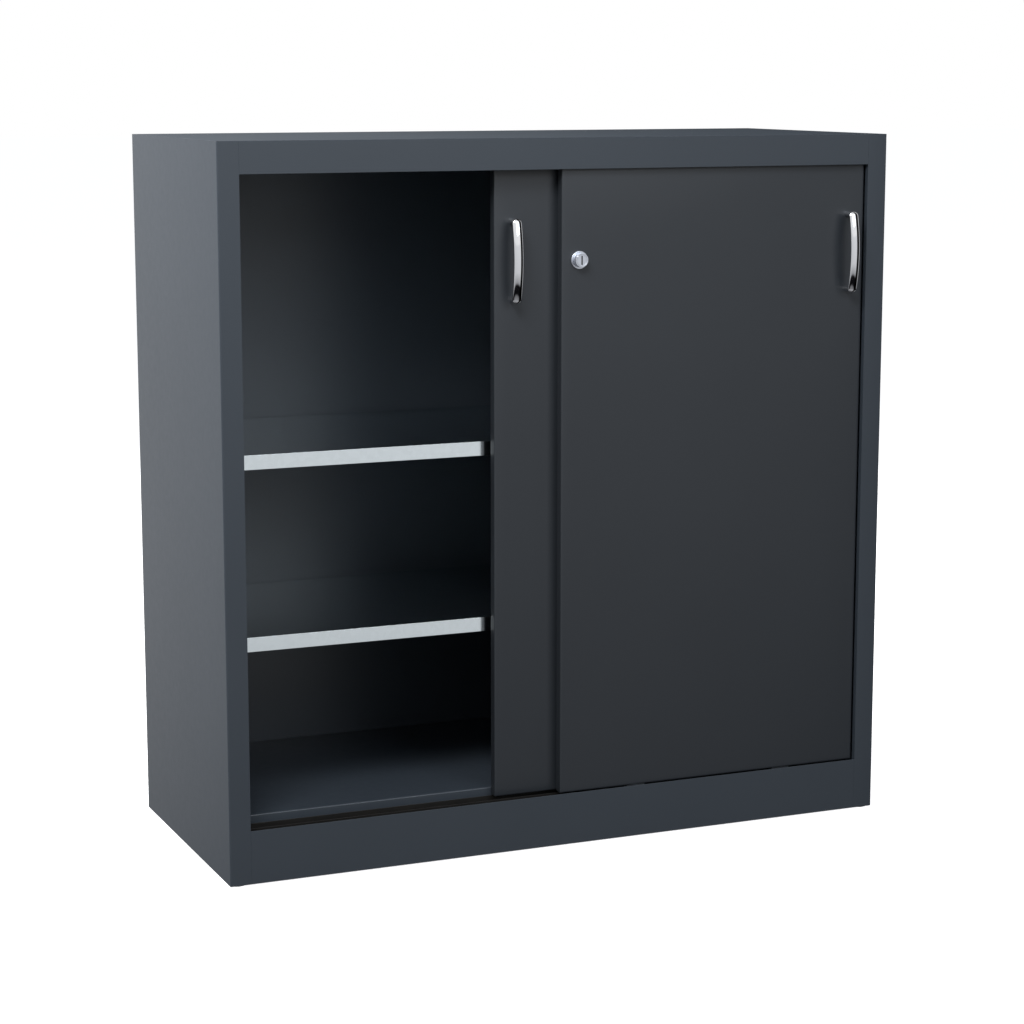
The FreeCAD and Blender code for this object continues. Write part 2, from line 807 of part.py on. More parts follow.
# ---------------------------------------------------------------------------
# Doors: each is drawn about its own lower left corner on its front face
# ---------------------------------------------------------------------------
def door_panel(node, place, handle_x, lock):
    """A door pan with its holes for the handle, the guides, the rollers and a lock."""
    body = new_body(node, place)
    face = new_sketch(body, "XZ_Plane")
    add_rectangle(face, "0", "0", "door_width", "door_height")
    pad(body, face, "door_depth", reverse=True)
    fillet(body, "outer_bend", lambda edge: is_line(edge, "y")
           or near(edge.CenterOfMass.y, body.Tip.Shape.BoundBox.YMin))
    hollow = new_sketch(body, "XZ_Plane", "-door_depth")
    add_rectangle(hollow, "gauge", "gauge", "door_width - gauge", "door_height - gauge")
    pocket(body, hollow, "door_depth - gauge")
    inner_depth = size("door_depth") - size("gauge")
    fillet(body, "bend_radius", lambda edge: near(edge.CenterOfMass.y, size("gauge"))
           or (is_line(edge, "y") and near(edge.Length, inner_depth)))
    holes = new_sketch(body, "XZ_Plane")
    for hand in ("-", "+"):
        add_circle(holes, (handle_x, f"handle_rise {hand} handle_leg_spacing / 2"),
                   "handle_screw_radius + handle_hole_clearance")
    if lock:
        add_circle(holes, ("lock_inset", "handle_rise"), "housing_radius + housing_clearance")
    pocket(body, holes)
    slots = new_sketch(body, "XY_Plane")
    for x in ("roller_inset", "door_width - roller_inset"):
        half = "(bracket_length / 2 + bracket_slot_gap)"
        add_rectangle(slots, f"{x} - {half}", "gauge", f"{x} + {half}",
                      "bracket_back + axle_head + bracket_slot_gap / 2")
    pocket(body, slots, "gauge + bend_radius")
    pegs = new_sketch(body, "XY_Plane", "door_height")
    for x in ("guide_inset", "door_width - guide_inset"):
        add_circle(pegs, (x, "door_depth / 2"), "guide_peg_radius + guide_peg_clearance")
    pocket(body, pegs, "2 * gauge")
    return publish(node, body)


def door_stiffener(node, place):
    """A channel welded down the middle of the pan."""
    body = new_body(node, shifted(place, "0", "0", "stiffener_end_gap"))
    left = "door_width / 2 - stiffener_width / 2"
    right = "door_width / 2 + stiffener_width / 2"
    rear = "door_depth - stiffener_back_gap"
    plan = new_sketch(body, "XY_Plane")
    add_outline(plan, [
        (left, "gauge"),
        (left, rear),
        (right, rear),
        (right, "gauge"),
        (f"{right} - gauge", "gauge"),
        (f"{right} - gauge", f"{rear} - gauge"),
        (f"{left} + gauge", f"{rear} - gauge"),
        (f"{left} + gauge", "gauge"),
    ])
    pad(body, plan, "door_height - 2 * stiffener_end_gap")
    return publish(node, body)


def handle(node, place, handle_x):
    """A bow handle: an arched bar on two legs that stand on the door's face."""
    body = new_body(node, shifted(place, handle_x, "0", "handle_rise"))
    bow = new_sketch(body, "YZ_Plane")
    half = size("handle_length") / 2
    for lift in (0, size("handle_thickness")):
        crown = lift - size("handle_projection")
        end = crown + size("handle_bow")
        bow.addGeometry(Part.Arc(Vector(end, -half, 0), Vector(crown, 0, 0),
                                 Vector(end, half, 0)), False)
        bow.addGeometry(Part.Point(Vector(crown, 0, 0)), True)
    outer, crown_point, inner, inner_point = range(4)
    ends = {}
    for arc in (outer, inner):
        low = 1 if bow.getPoint(arc, 1).y < 0 else 2
        ends[arc] = {"low": low, "high": 3 - low}
    for level in ("low", "high"):
        bow.addGeometry(Part.LineSegment(bow.getPoint(outer, ends[outer][level]),
                                         bow.getPoint(inner, ends[inner][level])), False)
    for line, level in ((inner_point + 1, "low"), (inner_point + 2, "high")):
        for end, arc in ((1, outer), (2, inner)):
            bow.addConstraint(Sketcher.Constraint("Coincident", line, end,
                                                  arc, ends[arc][level]))
    for arc, point, more in ((outer, crown_point, ""), (inner, inner_point, " + handle_thickness")):
        bow.addConstraint(Sketcher.Constraint("PointOnObject", point, 1, arc))
        fix_point(bow, point, 1, (f"-handle_projection{more}", "0"))
        for level, sign in (("low", "-"), ("high", "")):
            fix_point(bow, arc, ends[arc][level],
                      (f"-handle_end_projection{more}", f"{sign}handle_length / 2"))
    pad(body, bow, "handle_width", midplane=True)
    fillet(body, "handle_round", lambda edge: edge.Length > size("handle_length"))
    legs = new_sketch(body, "XZ_Plane")
    for hand in ("-", "+"):
        add_circle(legs, ("0", f"{hand} handle_leg_spacing / 2"), "handle_leg_radius")
    pad(body, legs, "handle_end_projection - handle_thickness / 2")
    doc.recompute()
    bores = new_sketch(body, "XZ_Plane")
    for hand in ("-", "+"):
        add_circle(bores, ("0", f"{hand} handle_leg_spacing / 2"),
                   "handle_screw_radius + handle_screw_clearance")
    pocket(body, bores, "handle_screw_depth + handle_screw_clearance")
    return publish(node, body)


def handle_screws(node, place, handle_x):
    """Two screws from inside the door into the handle's legs."""
    screws = []
    for hand in ("-", "+"):
        name = f"{node}_{len(screws) + 1}"
        centre = shifted(place, handle_x, "gauge", f"handle_rise {hand} handle_leg_spacing / 2")
        head = rod(f"{name}_head", centre, "screw_head_radius", "screw_head", "y")
        tip = shifted(centre, "0", "-(gauge + handle_screw_depth)", "0")
        shank = rod(f"{name}_shank", tip, "handle_screw_radius",
                    "gauge + handle_screw_depth + screw_head / 2", "y")
        screws.append(fuse(name, [head, shank]))
    return publish(node, group(f"{node}_pair", screws))


def roller_x(hand):
    """The place of one roller along its door."""
    return "roller_inset" if hand == "left" else "door_width - roller_inset"


def roller_brackets(node, place):
    """Two inverted channels on the door's inner face, one over each roller."""
    brackets = []
    for hand in ("left", "right"):
        body = new_body(f"{node}_{hand}", shifted(place, roller_x(hand), "0", "axle_rise"))
        profile = new_sketch(body, "YZ_Plane")
        add_outline(profile, [
            ("gauge", "-bracket_drop"),
            ("gauge", "bracket_rise"),
            ("bracket_back", "bracket_rise"),
            ("bracket_back", "-bracket_drop"),
            ("bracket_back - bracket_gauge", "-bracket_drop"),
            ("bracket_back - bracket_gauge", "bracket_rise - bracket_gauge"),
            ("gauge + bracket_gauge", "bracket_rise - bracket_gauge"),
            ("gauge + bracket_gauge", "-bracket_drop"),
        ])
        pad(body, profile, "bracket_length", midplane=True)
        doc.recompute()
        eye = new_sketch(body, "XZ_Plane")
        add_circle(eye, ("0", "0"), "axle_radius + axle_clearance")
        pocket(body, eye)
        brackets.append(body)
    return publish(node, group(f"{node}_pair", brackets))


def roller_axles(node, place):
    """Two headed pins through the brackets."""
    pins = []
    for hand in ("left", "right"):
        name = f"{node}_{hand}"
        start = shifted(place, roller_x(hand), "gauge", "axle_rise")
        shank = rod(f"{name}_shank", start, "axle_radius",
                    "bracket_back - gauge + axle_head / 2", "y")
        head = rod(f"{name}_head", shifted(start, "0", "bracket_back - gauge", "0"),
                   "axle_head_radius", "axle_head", "y")
        pins.append(fuse(name, [shank, head]))
    return publish(node, group(f"{node}_pair", pins))


def roller(node, place, hand):
    """A plastic wheel with a rim, a thin web and a hub, turning on its axle."""
    body = new_body(node, shifted(place, roller_x(hand), "(gauge + bracket_back) / 2",
                                  "axle_rise"))
    rim = "roller_radius - roller_rim"
    edge = "roller_width / 2"
    web = "roller_web / 2"
    bore = "axle_radius + axle_clearance"
    revolve(body, [
        (f"-({edge})", bore),
        (f"-({edge})", "roller_hub_radius"),
        (f"-({web})", "roller_hub_radius"),
        (f"-({web})", rim),
        (f"-({edge})", rim),
        (f"-({edge})", "roller_radius"),
        (edge, "roller_radius"),
        (edge, rim),
        (web, rim),
        (web, "roller_hub_radius"),
        (edge, "roller_hub_radius"),
        (edge, bore),
    ])
    return publish(node, body)


def top_guides(node, place):
    """Two plastic guides on the door's head: a foot, a peg below and a fin above."""
    guides = []
    for hand, x in (("left", "guide_inset"), ("right", "door_width - guide_inset")):
        name = f"{node}_{hand}"
        middle = shifted(place, x, "door_depth / 2", "door_height")
        corner = shifted(middle, "-guide_length / 2", "-guide_width / 2", "0")
        fin_height = "channel_top - guide_head_gap - door_top"
        foot_corner = shifted(corner, "0", "-guide_clearance", "0")
        foot = block(f"{name}_foot", foot_corner,
                     ("guide_length", "guide_width + 2 * guide_clearance", "guide_foot"))
        fin = block(f"{name}_fin", corner, ("guide_length", "guide_width", fin_height))
        peg = rod(f"{name}_peg", shifted(middle, "0", "0", "-guide_peg_length"),
                  "guide_peg_radius", "guide_peg_length + guide_foot")
        guides.append(fuse(name, [foot, fin, peg]))
    return publish(node, group(f"{node}_pair", guides))


# ---------------------------------------------------------------------------
# Lock: turned pieces about the lock's axis, with Y = 0 on the door's face
# ---------------------------------------------------------------------------
def lock_pieces(place):
    """The housing, plunger, key plug, bolt, spring and nut of the push lock."""
    centre = shifted(place, "lock_inset", "0", "handle_rise")
    housing = new_body("lock_housing", centre)
    revolve(housing, [
        ("-rosette_thickness", "housing_bore"),
        ("-rosette_thickness", "rosette_radius"),
        ("0", "rosette_radius"),
        ("0", "housing_radius"),
        ("housing_length", "housing_radius"),
        ("housing_length", "bolt_bore"),
        ("housing_length - housing_end", "bolt_bore"),
        ("housing_length - housing_end", "housing_bore"),
    ])
    publish("lock_housing", housing)

    plunger = new_body("lock_plunger", centre)
    spigot_bore = "bolt_spigot_radius + spigot_clearance"
    revolve(plunger, [
        ("-plunger_projection", "plunger_bore"),
        ("-plunger_projection", "plunger_radius"),
        ("plunger_depth", "plunger_radius"),
        ("plunger_depth", spigot_bore),
        ("plunger_depth - plunger_floor", spigot_bore),
        ("plunger_depth - plunger_floor", "plunger_bore"),
    ])
    publish("lock_plunger", plunger)

    bolt = new_body("lock_bolt", centre)
    revolve(bolt, [
        ("bolt_shoulder - bolt_spigot_length", "0"),
        ("bolt_shoulder - bolt_spigot_length", "bolt_spigot_radius"),
        ("bolt_shoulder", "bolt_spigot_radius"),
        ("bolt_shoulder", "bolt_radius"),
        ("bolt_end", "bolt_radius"),
        ("bolt_end", "0"),
    ])
    publish("lock_bolt", bolt)

    plug = new_body("lock_plug", centre)
    revolve(plug, [
        ("-plunger_projection", "0"),
        ("-plunger_projection", "plug_radius"),
        ("plunger_depth - plunger_floor - plug_end_gap", "plug_radius"),
        ("plunger_depth - plunger_floor - plug_end_gap", "0"),
    ])
    doc.recompute()
    keyway = new_sketch(plug, "XZ_Plane", "plunger_projection")
    add_rectangle(keyway, "-keyway_width / 2", "-keyway_length / 2",
                  "keyway_width / 2", "keyway_length / 2")
    pocket(plug, keyway, "keyway_depth")
    publish("lock_plug", plug)

    helix = doc.addObject("Part::Helix", "spring_line")
    helix.setExpression("Pitch", bind("spring_pitch"))
    helix.setExpression("Height", bind("spring_height"))
    helix.setExpression("Radius", bind("spring_small_radius"))
    helix.setExpression("Angle", bind("atan((spring_large_radius - spring_small_radius)"
                                      " / spring_height)"))
    doc.recompute()
    wire = doc.addObject("Part::Circle", "spring_wire")
    wire.setExpression("Radius", bind("spring_wire_radius"))
    wire.Placement = FreeCAD.Placement(Vector(), FreeCAD.Rotation(Vector(1, 0, 0), 90))
    put(wire, ("spring_small_radius", "0", "0"))
    spring = doc.addObject("Part::Sweep", "spring_coil")
    spring.Sections = [wire]
    spring.Spine = (helix, [])
    spring.Solid = True
    spring.Frenet = True
    spring.Placement = FreeCAD.Placement(Vector(), FreeCAD.Rotation(Vector(1, 0, 0), -90))
    put(spring, shifted(centre, "0", "plunger_depth + spring_end_gap", "0"))
    publish("lock_spring", spring)

    nut_start = shifted(centre, "0", "gauge", "0")
    hexagon = doc.addObject("Part::Prism", "nut_hexagon")
    hexagon.Polygon = 6
    hexagon.setExpression("Circumradius", bind("nut_circumradius"))
    hexagon.setExpression("Height", bind("nut_thickness"))
    hexagon.Placement = FreeCAD.Placement(Vector(), FreeCAD.Rotation(Vector(1, 0, 0), -90))
    put(hexagon, nut_start)
    bore = rod("nut_bore", shifted(nut_start, "0", "-gauge", "0"),
               "housing_radius + nut_clearance", "nut_thickness + 2 * gauge", "y")
    publish("lock_nut", cut("nut", hexagon, bore))


def lock_strike(place):
    """A strike on the left door's right edge, with a nose that the bolt stands behind."""
    body = new_body("lock_strike", shifted(place, "door_width", "0",
                                           "handle_rise - strike_height / 2"))
    plan = new_sketch(body, "XY_Plane")
    add_outline(plan, [
        ("-strike_cover", "0"),
        ("-strike_cover", "-strike_plate"),
        ("strike_nose - strike_nose_width", "-strike_plate"),
        ("strike_nose - strike_nose_width", "-strike_rise"),
        ("strike_nose", "-strike_rise"),
        ("strike_nose", "0"),
    ])
    pad(body, plan, "strike_height")
    return publish("lock_strike", body)


def door(side, place, handle_x, lock):
    """One door with everything that rides on it."""
    door_panel(f"{side}_door_panel", place, handle_x, lock)
    door_stiffener(f"{side}_door_stiffener", place)
    handle(f"{side}_handle", place, handle_x)
    handle_screws(f"{side}_handle_screws", place, handle_x)
    roller_brackets(f"{side}_roller_brackets", place)
    roller_axles(f"{side}_roller_axles", place)
    top_guides(f"{side}_top_guides", place)
    for hand in ("left", "right"):
        roller(f"{side}_door_{hand}_roller", place, hand)


# ---------------------------------------------------------------------------
# The whole cabinet
# ---------------------------------------------------------------------------
side_panel("side_panel_left", "-1")
side_panel("side_panel_right", "1")
top_panel()
plinth_rail()
floor_panel()
back_panel()
channel_brace("top_brace", "(front + back) / 2", "brace_width", "brace_depth", "ceiling",
              "inside_half - brace_end_gap")
corner_glides()
for hand, side in (("left", "-1"), ("right", "1")):
    upright(f"upright_front_{hand}", side, "front_upright_y")
    upright(f"upright_rear_{hand}", side, "rear_upright_y")
shelf_clips()
for level in ("lower", "upper"):
    rise = f"{level}_shelf_rise"
    shelf(f"shelf_{level}", rise)
    channel_brace(f"shelf_{level}_brace", "(shelf_front + shelf_back) / 2",
                  "shelf_brace_width", "shelf_brace_depth",
                  f"(floor_height + {rise} - gauge)", "shelf_half - gauge")
lower_track()
upper_track()
upper_track_screws()
door_stops()

LEFT_DOOR = ("left_door_x", "rear_door_y", "door_bottom")
RIGHT_DOOR = ("right_door_x", "front_door_y", "door_bottom")
door("left", LEFT_DOOR, "handle_edge_inset", lock=False)
door("right", RIGHT_DOOR, "door_width - handle_edge_inset", lock=True)
lock_pieces(RIGHT_DOOR)
lock_strike(LEFT_DOOR)

doc.recompute()

# ---------------------------------------------------------------------------
# Check every object, then write one STEP file for each sub-part
# ---------------------------------------------------------------------------
for item in doc.Objects:
    if "Invalid" in item.State or "Error" in item.State:
        raise RuntimeError(f"{item.Label} failed: {item.State}")
for node, item in parts.items():
    if item.Shape.isNull() or not item.Shape.isValid() or not item.Shape.Solids:
        raise RuntimeError(f"{node} has no valid shape")

os.makedirs("parts", exist_ok=True)
for node, item in parts.items():
    item.Shape.exportStep(os.path.join("parts", f"{node}.step"))
    box = item.Shape.BoundBox
    print(f"{node}: {len(item.Shape.Solids)} solids, {item.Shape.Volume / 1000:.2f} cm3, "
          f"X {box.XMin:.2f}..{box.XMax:.2f} Y {box.YMin:.2f}..{box.YMax:.2f} "
          f"Z {box.ZMin:.2f}..{box.ZMax:.2f}")
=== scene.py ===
# %% [markdown]
# # A steel cabinet with two sliding doors
#
# This notebook dresses a finished engineering model of an office cabinet. The model already holds every
# sheet, roller and screw at its true size, so the work here is the finish: paint, plating and plastic,
# the polished handles, the small roundings that catch the light, and a plain white studio.
#
# Everything is in metres. X runs to the right, Y from the doors to the back, and Z up.

import json
import math

import bmesh
import bpy
from mathutils import Matrix, Vector


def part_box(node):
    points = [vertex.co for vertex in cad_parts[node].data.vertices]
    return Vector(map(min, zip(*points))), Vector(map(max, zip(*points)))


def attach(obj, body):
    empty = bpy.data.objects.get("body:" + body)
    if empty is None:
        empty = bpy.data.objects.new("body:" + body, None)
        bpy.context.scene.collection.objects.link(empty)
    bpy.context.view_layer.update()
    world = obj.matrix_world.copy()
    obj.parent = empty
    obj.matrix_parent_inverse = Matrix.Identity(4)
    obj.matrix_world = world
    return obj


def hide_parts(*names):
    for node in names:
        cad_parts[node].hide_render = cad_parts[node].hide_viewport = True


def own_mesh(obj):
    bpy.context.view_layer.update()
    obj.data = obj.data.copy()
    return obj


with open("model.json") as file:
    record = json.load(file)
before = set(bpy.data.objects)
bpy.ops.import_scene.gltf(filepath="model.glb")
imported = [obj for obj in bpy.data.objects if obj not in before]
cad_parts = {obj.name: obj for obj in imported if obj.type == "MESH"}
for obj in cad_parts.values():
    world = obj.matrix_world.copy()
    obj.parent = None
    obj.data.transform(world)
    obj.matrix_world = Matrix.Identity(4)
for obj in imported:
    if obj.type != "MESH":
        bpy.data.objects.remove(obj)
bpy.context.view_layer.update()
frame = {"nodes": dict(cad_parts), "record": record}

# %% [markdown]
# ## Two helpers
#
# Materials, the world and the Geometry Nodes trees are all made of nodes, so one function adds any node,
# sets it up and links it. Colours are written as the six-digit codes of paint charts and screens. Those
# are sRGB, and Blender's sockets want linear light, so a second function turns one into the other.

# %% Colours and nodes
MM = 0.001


def srgb(code):
    """Turn a six-digit sRGB hex colour into the linear colour that Blender's sockets hold."""
    levels = [int(code[i:i + 2], 16) / 255 for i in (0, 2, 4)]
    linear = [v / 12.92 if v <= 0.04045 else ((v + 0.055) / 1.055) ** 2.4 for v in levels]
    return (*linear, 1.0)


def add_node(tree, kind, inputs=None, **settings):
    """Add a node, set its properties, and give its inputs values or other nodes' sockets."""
    node = tree.nodes.new(kind)
    for name, value in settings.items():
        setattr(node, name, value)
    for name, value in (inputs or {}).items():
        if isinstance(value, bpy.types.NodeSocket):
            tree.links.new(value, node.inputs[name])
        else:
            node.inputs[name].default_value = value
    return node


WHITE = srgb("FFFFFF")
print("anthracite in linear light:", [round(v, 4) for v in srgb("383E42")[:3]])

# %% [markdown]
# ## The studio
#
# Furniture is usually shown in a white studio. A closed white room with lamps would do, but white walls
# on all sides wash dark paint out. Two things matter for semi-gloss paint: what shines on it, and what
# it mirrors. So the world plays three parts. Light Path tells its shader who is looking: the camera sees
# pure white, a mirror-like surface sees a designed room, and everything else gets a dim, slightly cool
# sky. Five lamps then give the shapes their light.

# %% Find out who is looking
def who_is_looking(tree):
    """Two sockets: one for camera rays, one for rays that come off a mirror-like surface."""
    path = add_node(tree, "ShaderNodeLightPath").outputs
    mirror = add_node(tree, "ShaderNodeMath", {0: path["Is Glossy Ray"], 1: path["Is Transmission Ray"]},
                      operation="MAXIMUM")
    return path["Is Camera Ray"], mirror.outputs[0]


print("rays are told apart by Light Path")

# %% [markdown]
# ### The room that the paint and the chrome mirror
#
# Semi-gloss paint and polished chrome are mostly a picture of the room, so the room is designed before
# the finishes. A panorama image would be one way, but two short lists are easier to read and to tune.
# The first gives the room's bands by their elevation in degrees: a grey floor, a nearly black skirting,
# a light wall and a white softbox over it. The second gives how bright each side is, by the angle from
# straight in front, positive to the right. The lamp side is the left. From 39 degrees on the right side
# is dark, apart from a narrow window, which draws the thin bright line along each handle's right edge.

# %% Design the room
ROOM_BANDS = (("floor", -90, "38383A"), ("lit floor", -35, "B4B4B6"), ("floor edge", -28, "6E6E70"),
              ("skirting", -26.5, "101012"), ("skirting top", -20.5, "101012"), ("wall", -18.5, "A4A5A7"),
              ("lit wall", -11.5, "DADBDD"), ("wall top", 6.5, "E8E9EB"), ("softbox", 8.5, "FFFFFF"))
ROOM_SIDES = (("behind", -180, 0.80), ("left wall", -166, 0.77), ("lamp side", 35, 1.0),
              ("dark side", 39, 0.01), ("window's edge", 73, 0.01), ("window", 76, 0.75),
              ("window's end", 93, 0.75), ("dark again", 96, 0.01), ("dark side's end", 153, 0.01),
              ("back right", 170, 0.30), ("behind again", 180, 0.80))


def room_levels(tree, along, low, high, stops):
    """The room's colours along a value; each stop is a place between low and high, and a colour."""
    share = add_node(tree, "ShaderNodeMapRange", {"Value": along, "From Min": low, "From Max": high})
    levels = add_node(tree, "ShaderNodeValToRGB", {"Fac": share.outputs[0]})
    elements = levels.color_ramp.elements
    for element, (place, colour) in zip(elements, (stops[0], stops[-1])):
        element.position = (place - low) / (high - low)
        element.color = colour
    for place, colour in stops[1:-1]:
        elements.new((place - low) / (high - low)).color = colour
    return levels.outputs["Color"]


def mirrored_room(tree):
    """The background that mirror-like surfaces see: bands by elevation, dimmed by the side."""
    towards = add_node(tree, "ShaderNodeTexCoord").outputs["Generated"]
    x, y, z = add_node(tree, "ShaderNodeSeparateXYZ", {"Vector": towards}).outputs
    front = add_node(tree, "ShaderNodeMath", {0: y, 1: -1.0}, operation="MULTIPLY")
    turn = add_node(tree, "ShaderNodeMath", {0: x, 1: front.outputs[0]}, operation="ARCTAN2")
    bands = room_levels(tree, z, -1, 1, [(math.sin(math.radians(elevation)), srgb(colour))
                                         for _, elevation, colour in ROOM_BANDS])
    sides = room_levels(tree, turn.outputs[0], -math.pi, math.pi,
                        [(math.radians(angle), (share, share, share, 1))
                         for _, angle, share in ROOM_SIDES])
    return add_node(tree, "ShaderNodeBackground", {"Color": bands, "Strength": sides})


print("bands:", ", ".join(name for name, _, _ in ROOM_BANDS))

# %% Build the world
SKY_COLOUR = "EEF2F7"
SKY_LIGHT = 0.36


def build_world():
    """A world that looks white to the camera, lights softly and mirrors as a room."""
    world = bpy.data.worlds.new("studio")
    bpy.context.scene.world = world
    world.use_nodes = True
    tree = world.node_tree
    tree.nodes.clear()
    camera_ray, mirror_ray = who_is_looking(tree)
    sky = add_node(tree, "ShaderNodeBackground", {"Color": srgb(SKY_COLOUR), "Strength": SKY_LIGHT})
    white = add_node(tree, "ShaderNodeBackground", {"Color": WHITE, "Strength": 1.0})
    lit = add_node(tree, "ShaderNodeMixShader", {0: mirror_ray, 1: sky.outputs[0],
                                                 2: mirrored_room(tree).outputs[0]})
    seen = add_node(tree, "ShaderNodeMixShader", {0: camera_ray, 1: lit.outputs[0],
                                                  2: white.outputs[0]})
    add_node(tree, "ShaderNodeOutputWorld", {"Surface": seen.outputs[0]})
    return tree


print("world made of", len(build_world().nodes), "nodes")

# %% [markdown]
# ### The floor
#
# The floor is white paper. Plain white paper would render light grey in this modest light. So the camera
# sees it glow a little, and it comes out as white as the sky wherever light falls on it, and slightly
# grey where the cabinet keeps the light off. That grey is the contact shadow, which makes the cabinet
# stand on something. Everything else sees a much darker paper, so that little light bounces up.
# Mirror-like surfaces see the room instead, and from below the paper is clear, so that the underside
# can be looked at.

# %% Make the paper
PAPER_COLOUR = "DADADA"
PAPER_GLOW = 0.78
BOUNCE_COLOUR = "484848"


def studio_paper():
    """Glowing white to the camera, dark grey to the lamps' light, clear from below."""
    paper = bpy.data.materials.new("white_studio_paper")
    paper.use_nodes = True
    tree = paper.node_tree
    tree.nodes.clear()
    camera_ray, _ = who_is_looking(tree)
    sheet = add_node(tree, "ShaderNodeBsdfDiffuse", {"Color": srgb(PAPER_COLOUR)})
    glow = add_node(tree, "ShaderNodeEmission", {"Color": WHITE, "Strength": PAPER_GLOW})
    white = add_node(tree, "ShaderNodeAddShader", {0: sheet.outputs[0], 1: glow.outputs[0]})
    plain = add_node(tree, "ShaderNodeBsdfDiffuse", {"Color": srgb(BOUNCE_COLOUR)})
    seen = add_node(tree, "ShaderNodeMixShader", {0: camera_ray, 1: plain.outputs[0],
                                                  2: white.outputs[0]})
    below = add_node(tree, "ShaderNodeNewGeometry").outputs["Backfacing"]
    clear = add_node(tree, "ShaderNodeBsdfTransparent")
    one_way = add_node(tree, "ShaderNodeMixShader", {0: below, 1: seen.outputs[0],
                                                     2: clear.outputs[0]})
    add_node(tree, "ShaderNodeOutputMaterial", {"Surface": one_way.outputs[0]})
    return paper


print("paper glows at", PAPER_GLOW)

# %% Lay the floor
FLOOR_HALF = 40.0

mesh = bpy.data.meshes.new("studio_floor")
corners = [(x * FLOOR_HALF, y * FLOOR_HALF, 0) for x, y in ((-1, -1), (1, -1), (1, 1), (-1, 1))]
mesh.from_pydata(corners, [], [(0, 1, 2, 3)])
mesh.materials.append(studio_paper())
floor = bpy.data.objects.new("studio_floor", mesh)
bpy.context.scene.collection.objects.link(floor)
floor.visible_glossy = False
print("floor", 2 * FLOOR_HALF, "m square")

# %% [markdown]
# ### The camera
#
# The camera stands to the left, a little above the cabinet's top, and looks slightly down. A short lens
# from near by would show more of the inside but would spread the edges apart. A long lens from far away
# keeps them nearly parallel, as furniture pictures do.

# %% Place the camera
CAMERA_PLACE = Vector((-1.4562, -3.4063, 1.0871))
CAMERA_TURN = math.radians(23.136)
CAMERA_DIP = math.radians(9.746)
LENS_IN_MM = 89.98
FAR_CLIP = 200.0

lens = bpy.data.cameras.new("camera")
lens.lens = LENS_IN_MM
lens.clip_end = FAR_CLIP
camera = bpy.data.objects.new("camera", lens)
bpy.context.scene.collection.objects.link(camera)
camera.location = CAMERA_PLACE
camera.rotation_euler = (math.pi / 2 - CAMERA_DIP, 0, -CAMERA_TURN)
bpy.context.scene.camera = camera
bpy.context.scene.view_settings.view_transform = "Standard"
print("camera", round(CAMERA_PLACE.length, 2), "m from the middle of the floor")

# %% [markdown]
# ### The lamps
#
# All lamps are soft boxes, because hard lamps would print sharp spots on the paint. The key lamp at the
# upper left front and the side lamp over the left side make the left brighter than the front and the top
# of each sheet brighter than its foot. A cool fill lamp in front lifts the doors. Two weak lamps, behind
# and to the right, only light what the other views show. The paint and the chrome don't mirror them.

# %% Hang the lamps
# Each lamp's place, its target, its width and height in metres, and its power in watts.
LAMPS = {
    "key_lamp": ((-1.3, -1.7, 2.7), (0, 0, 0.95), 1.4, 1.0, 66),
    "fill_lamp": ((1.0, -3.6, 2.4), (0, 0, 0.9), 2.0, 1.2, 31),
    "side_lamp": ((-1.8, 0.3, 2.6), (-0.5, 0, 0.9), 1.2, 1.2, 100),
    "back_lamp": ((1.2, 3.4, 1.3), (0, 0, 0.6), 2.0, 1.6, 40),
    "right_lamp": ((2.6, 1.0, 0.6), (0.5, 0, 0.5), 1.4, 0.9, 34),
}
LAMP_COLOURS = {"fill_lamp": "EFF7FF"}
NOT_MIRRORED = ("back_lamp", "right_lamp")

for name, (place, target, width, height, power) in LAMPS.items():
    light = bpy.data.lights.new(name, "AREA")
    light.shape = "RECTANGLE"
    light.size, light.size_y, light.energy = width, height, power
    light.color = srgb(LAMP_COLOURS.get(name, "FFFFFF"))[:3]
    lamp = bpy.data.objects.new(name, light)
    bpy.context.scene.collection.objects.link(lamp)
    lamp.location = place
    lamp.rotation_euler = (Vector(target) - Vector(place)).to_track_quat("-Z", "Y").to_euler()
    lamp.visible_camera = False
    lamp.visible_glossy = name not in NOT_MIRRORED
print("lamps:", {name: f"{lamp[-1]} W" for name, lamp in LAMPS.items()})

# %% [markdown]
# ## Finishes
#
# Each finish starts from what the real material is, and each has three layers: a colour that varies
# between two shades, a roughness that varies between two values, and a relief too fine to model. An
# image texture could give them, but it would have to be wrapped round every folded sheet. Noise in
# Object coordinates needs no wrapping. Here those are metres in the cabinet's own frame, so a pattern's
# scale is one over its real size.

# %% Three layers on one shader
NOISE_MIDDLE = {"From Min": 0.3, "From Max": 0.7}


def new_finish(name, **fixed):
    """An empty material with a Principled shader; returns the material, its tree and the shader."""
    material = bpy.data.materials.new(name)
    material.use_nodes = True
    tree = material.node_tree
    tree.nodes.clear()
    shader = add_node(tree, "ShaderNodeBsdfPrincipled", fixed)
    add_node(tree, "ShaderNodeOutputMaterial", {"Surface": shader.outputs[0]})
    return material, tree, shader


def grain(tree, size, detail=2.0, stretch=(1, 1, 1)):
    """Noise whose blotches are about one size wide, stretched along an axis if asked."""
    where = add_node(tree, "ShaderNodeTexCoord")
    turned = add_node(tree, "ShaderNodeMapping", {"Vector": where.outputs["Object"],
                                                  "Scale": [1 / s for s in stretch]})
    return add_node(tree, "ShaderNodeTexNoise", {"Vector": turned.outputs[0], "Scale": 1 / size,
                                                 "Detail": detail}).outputs[0]


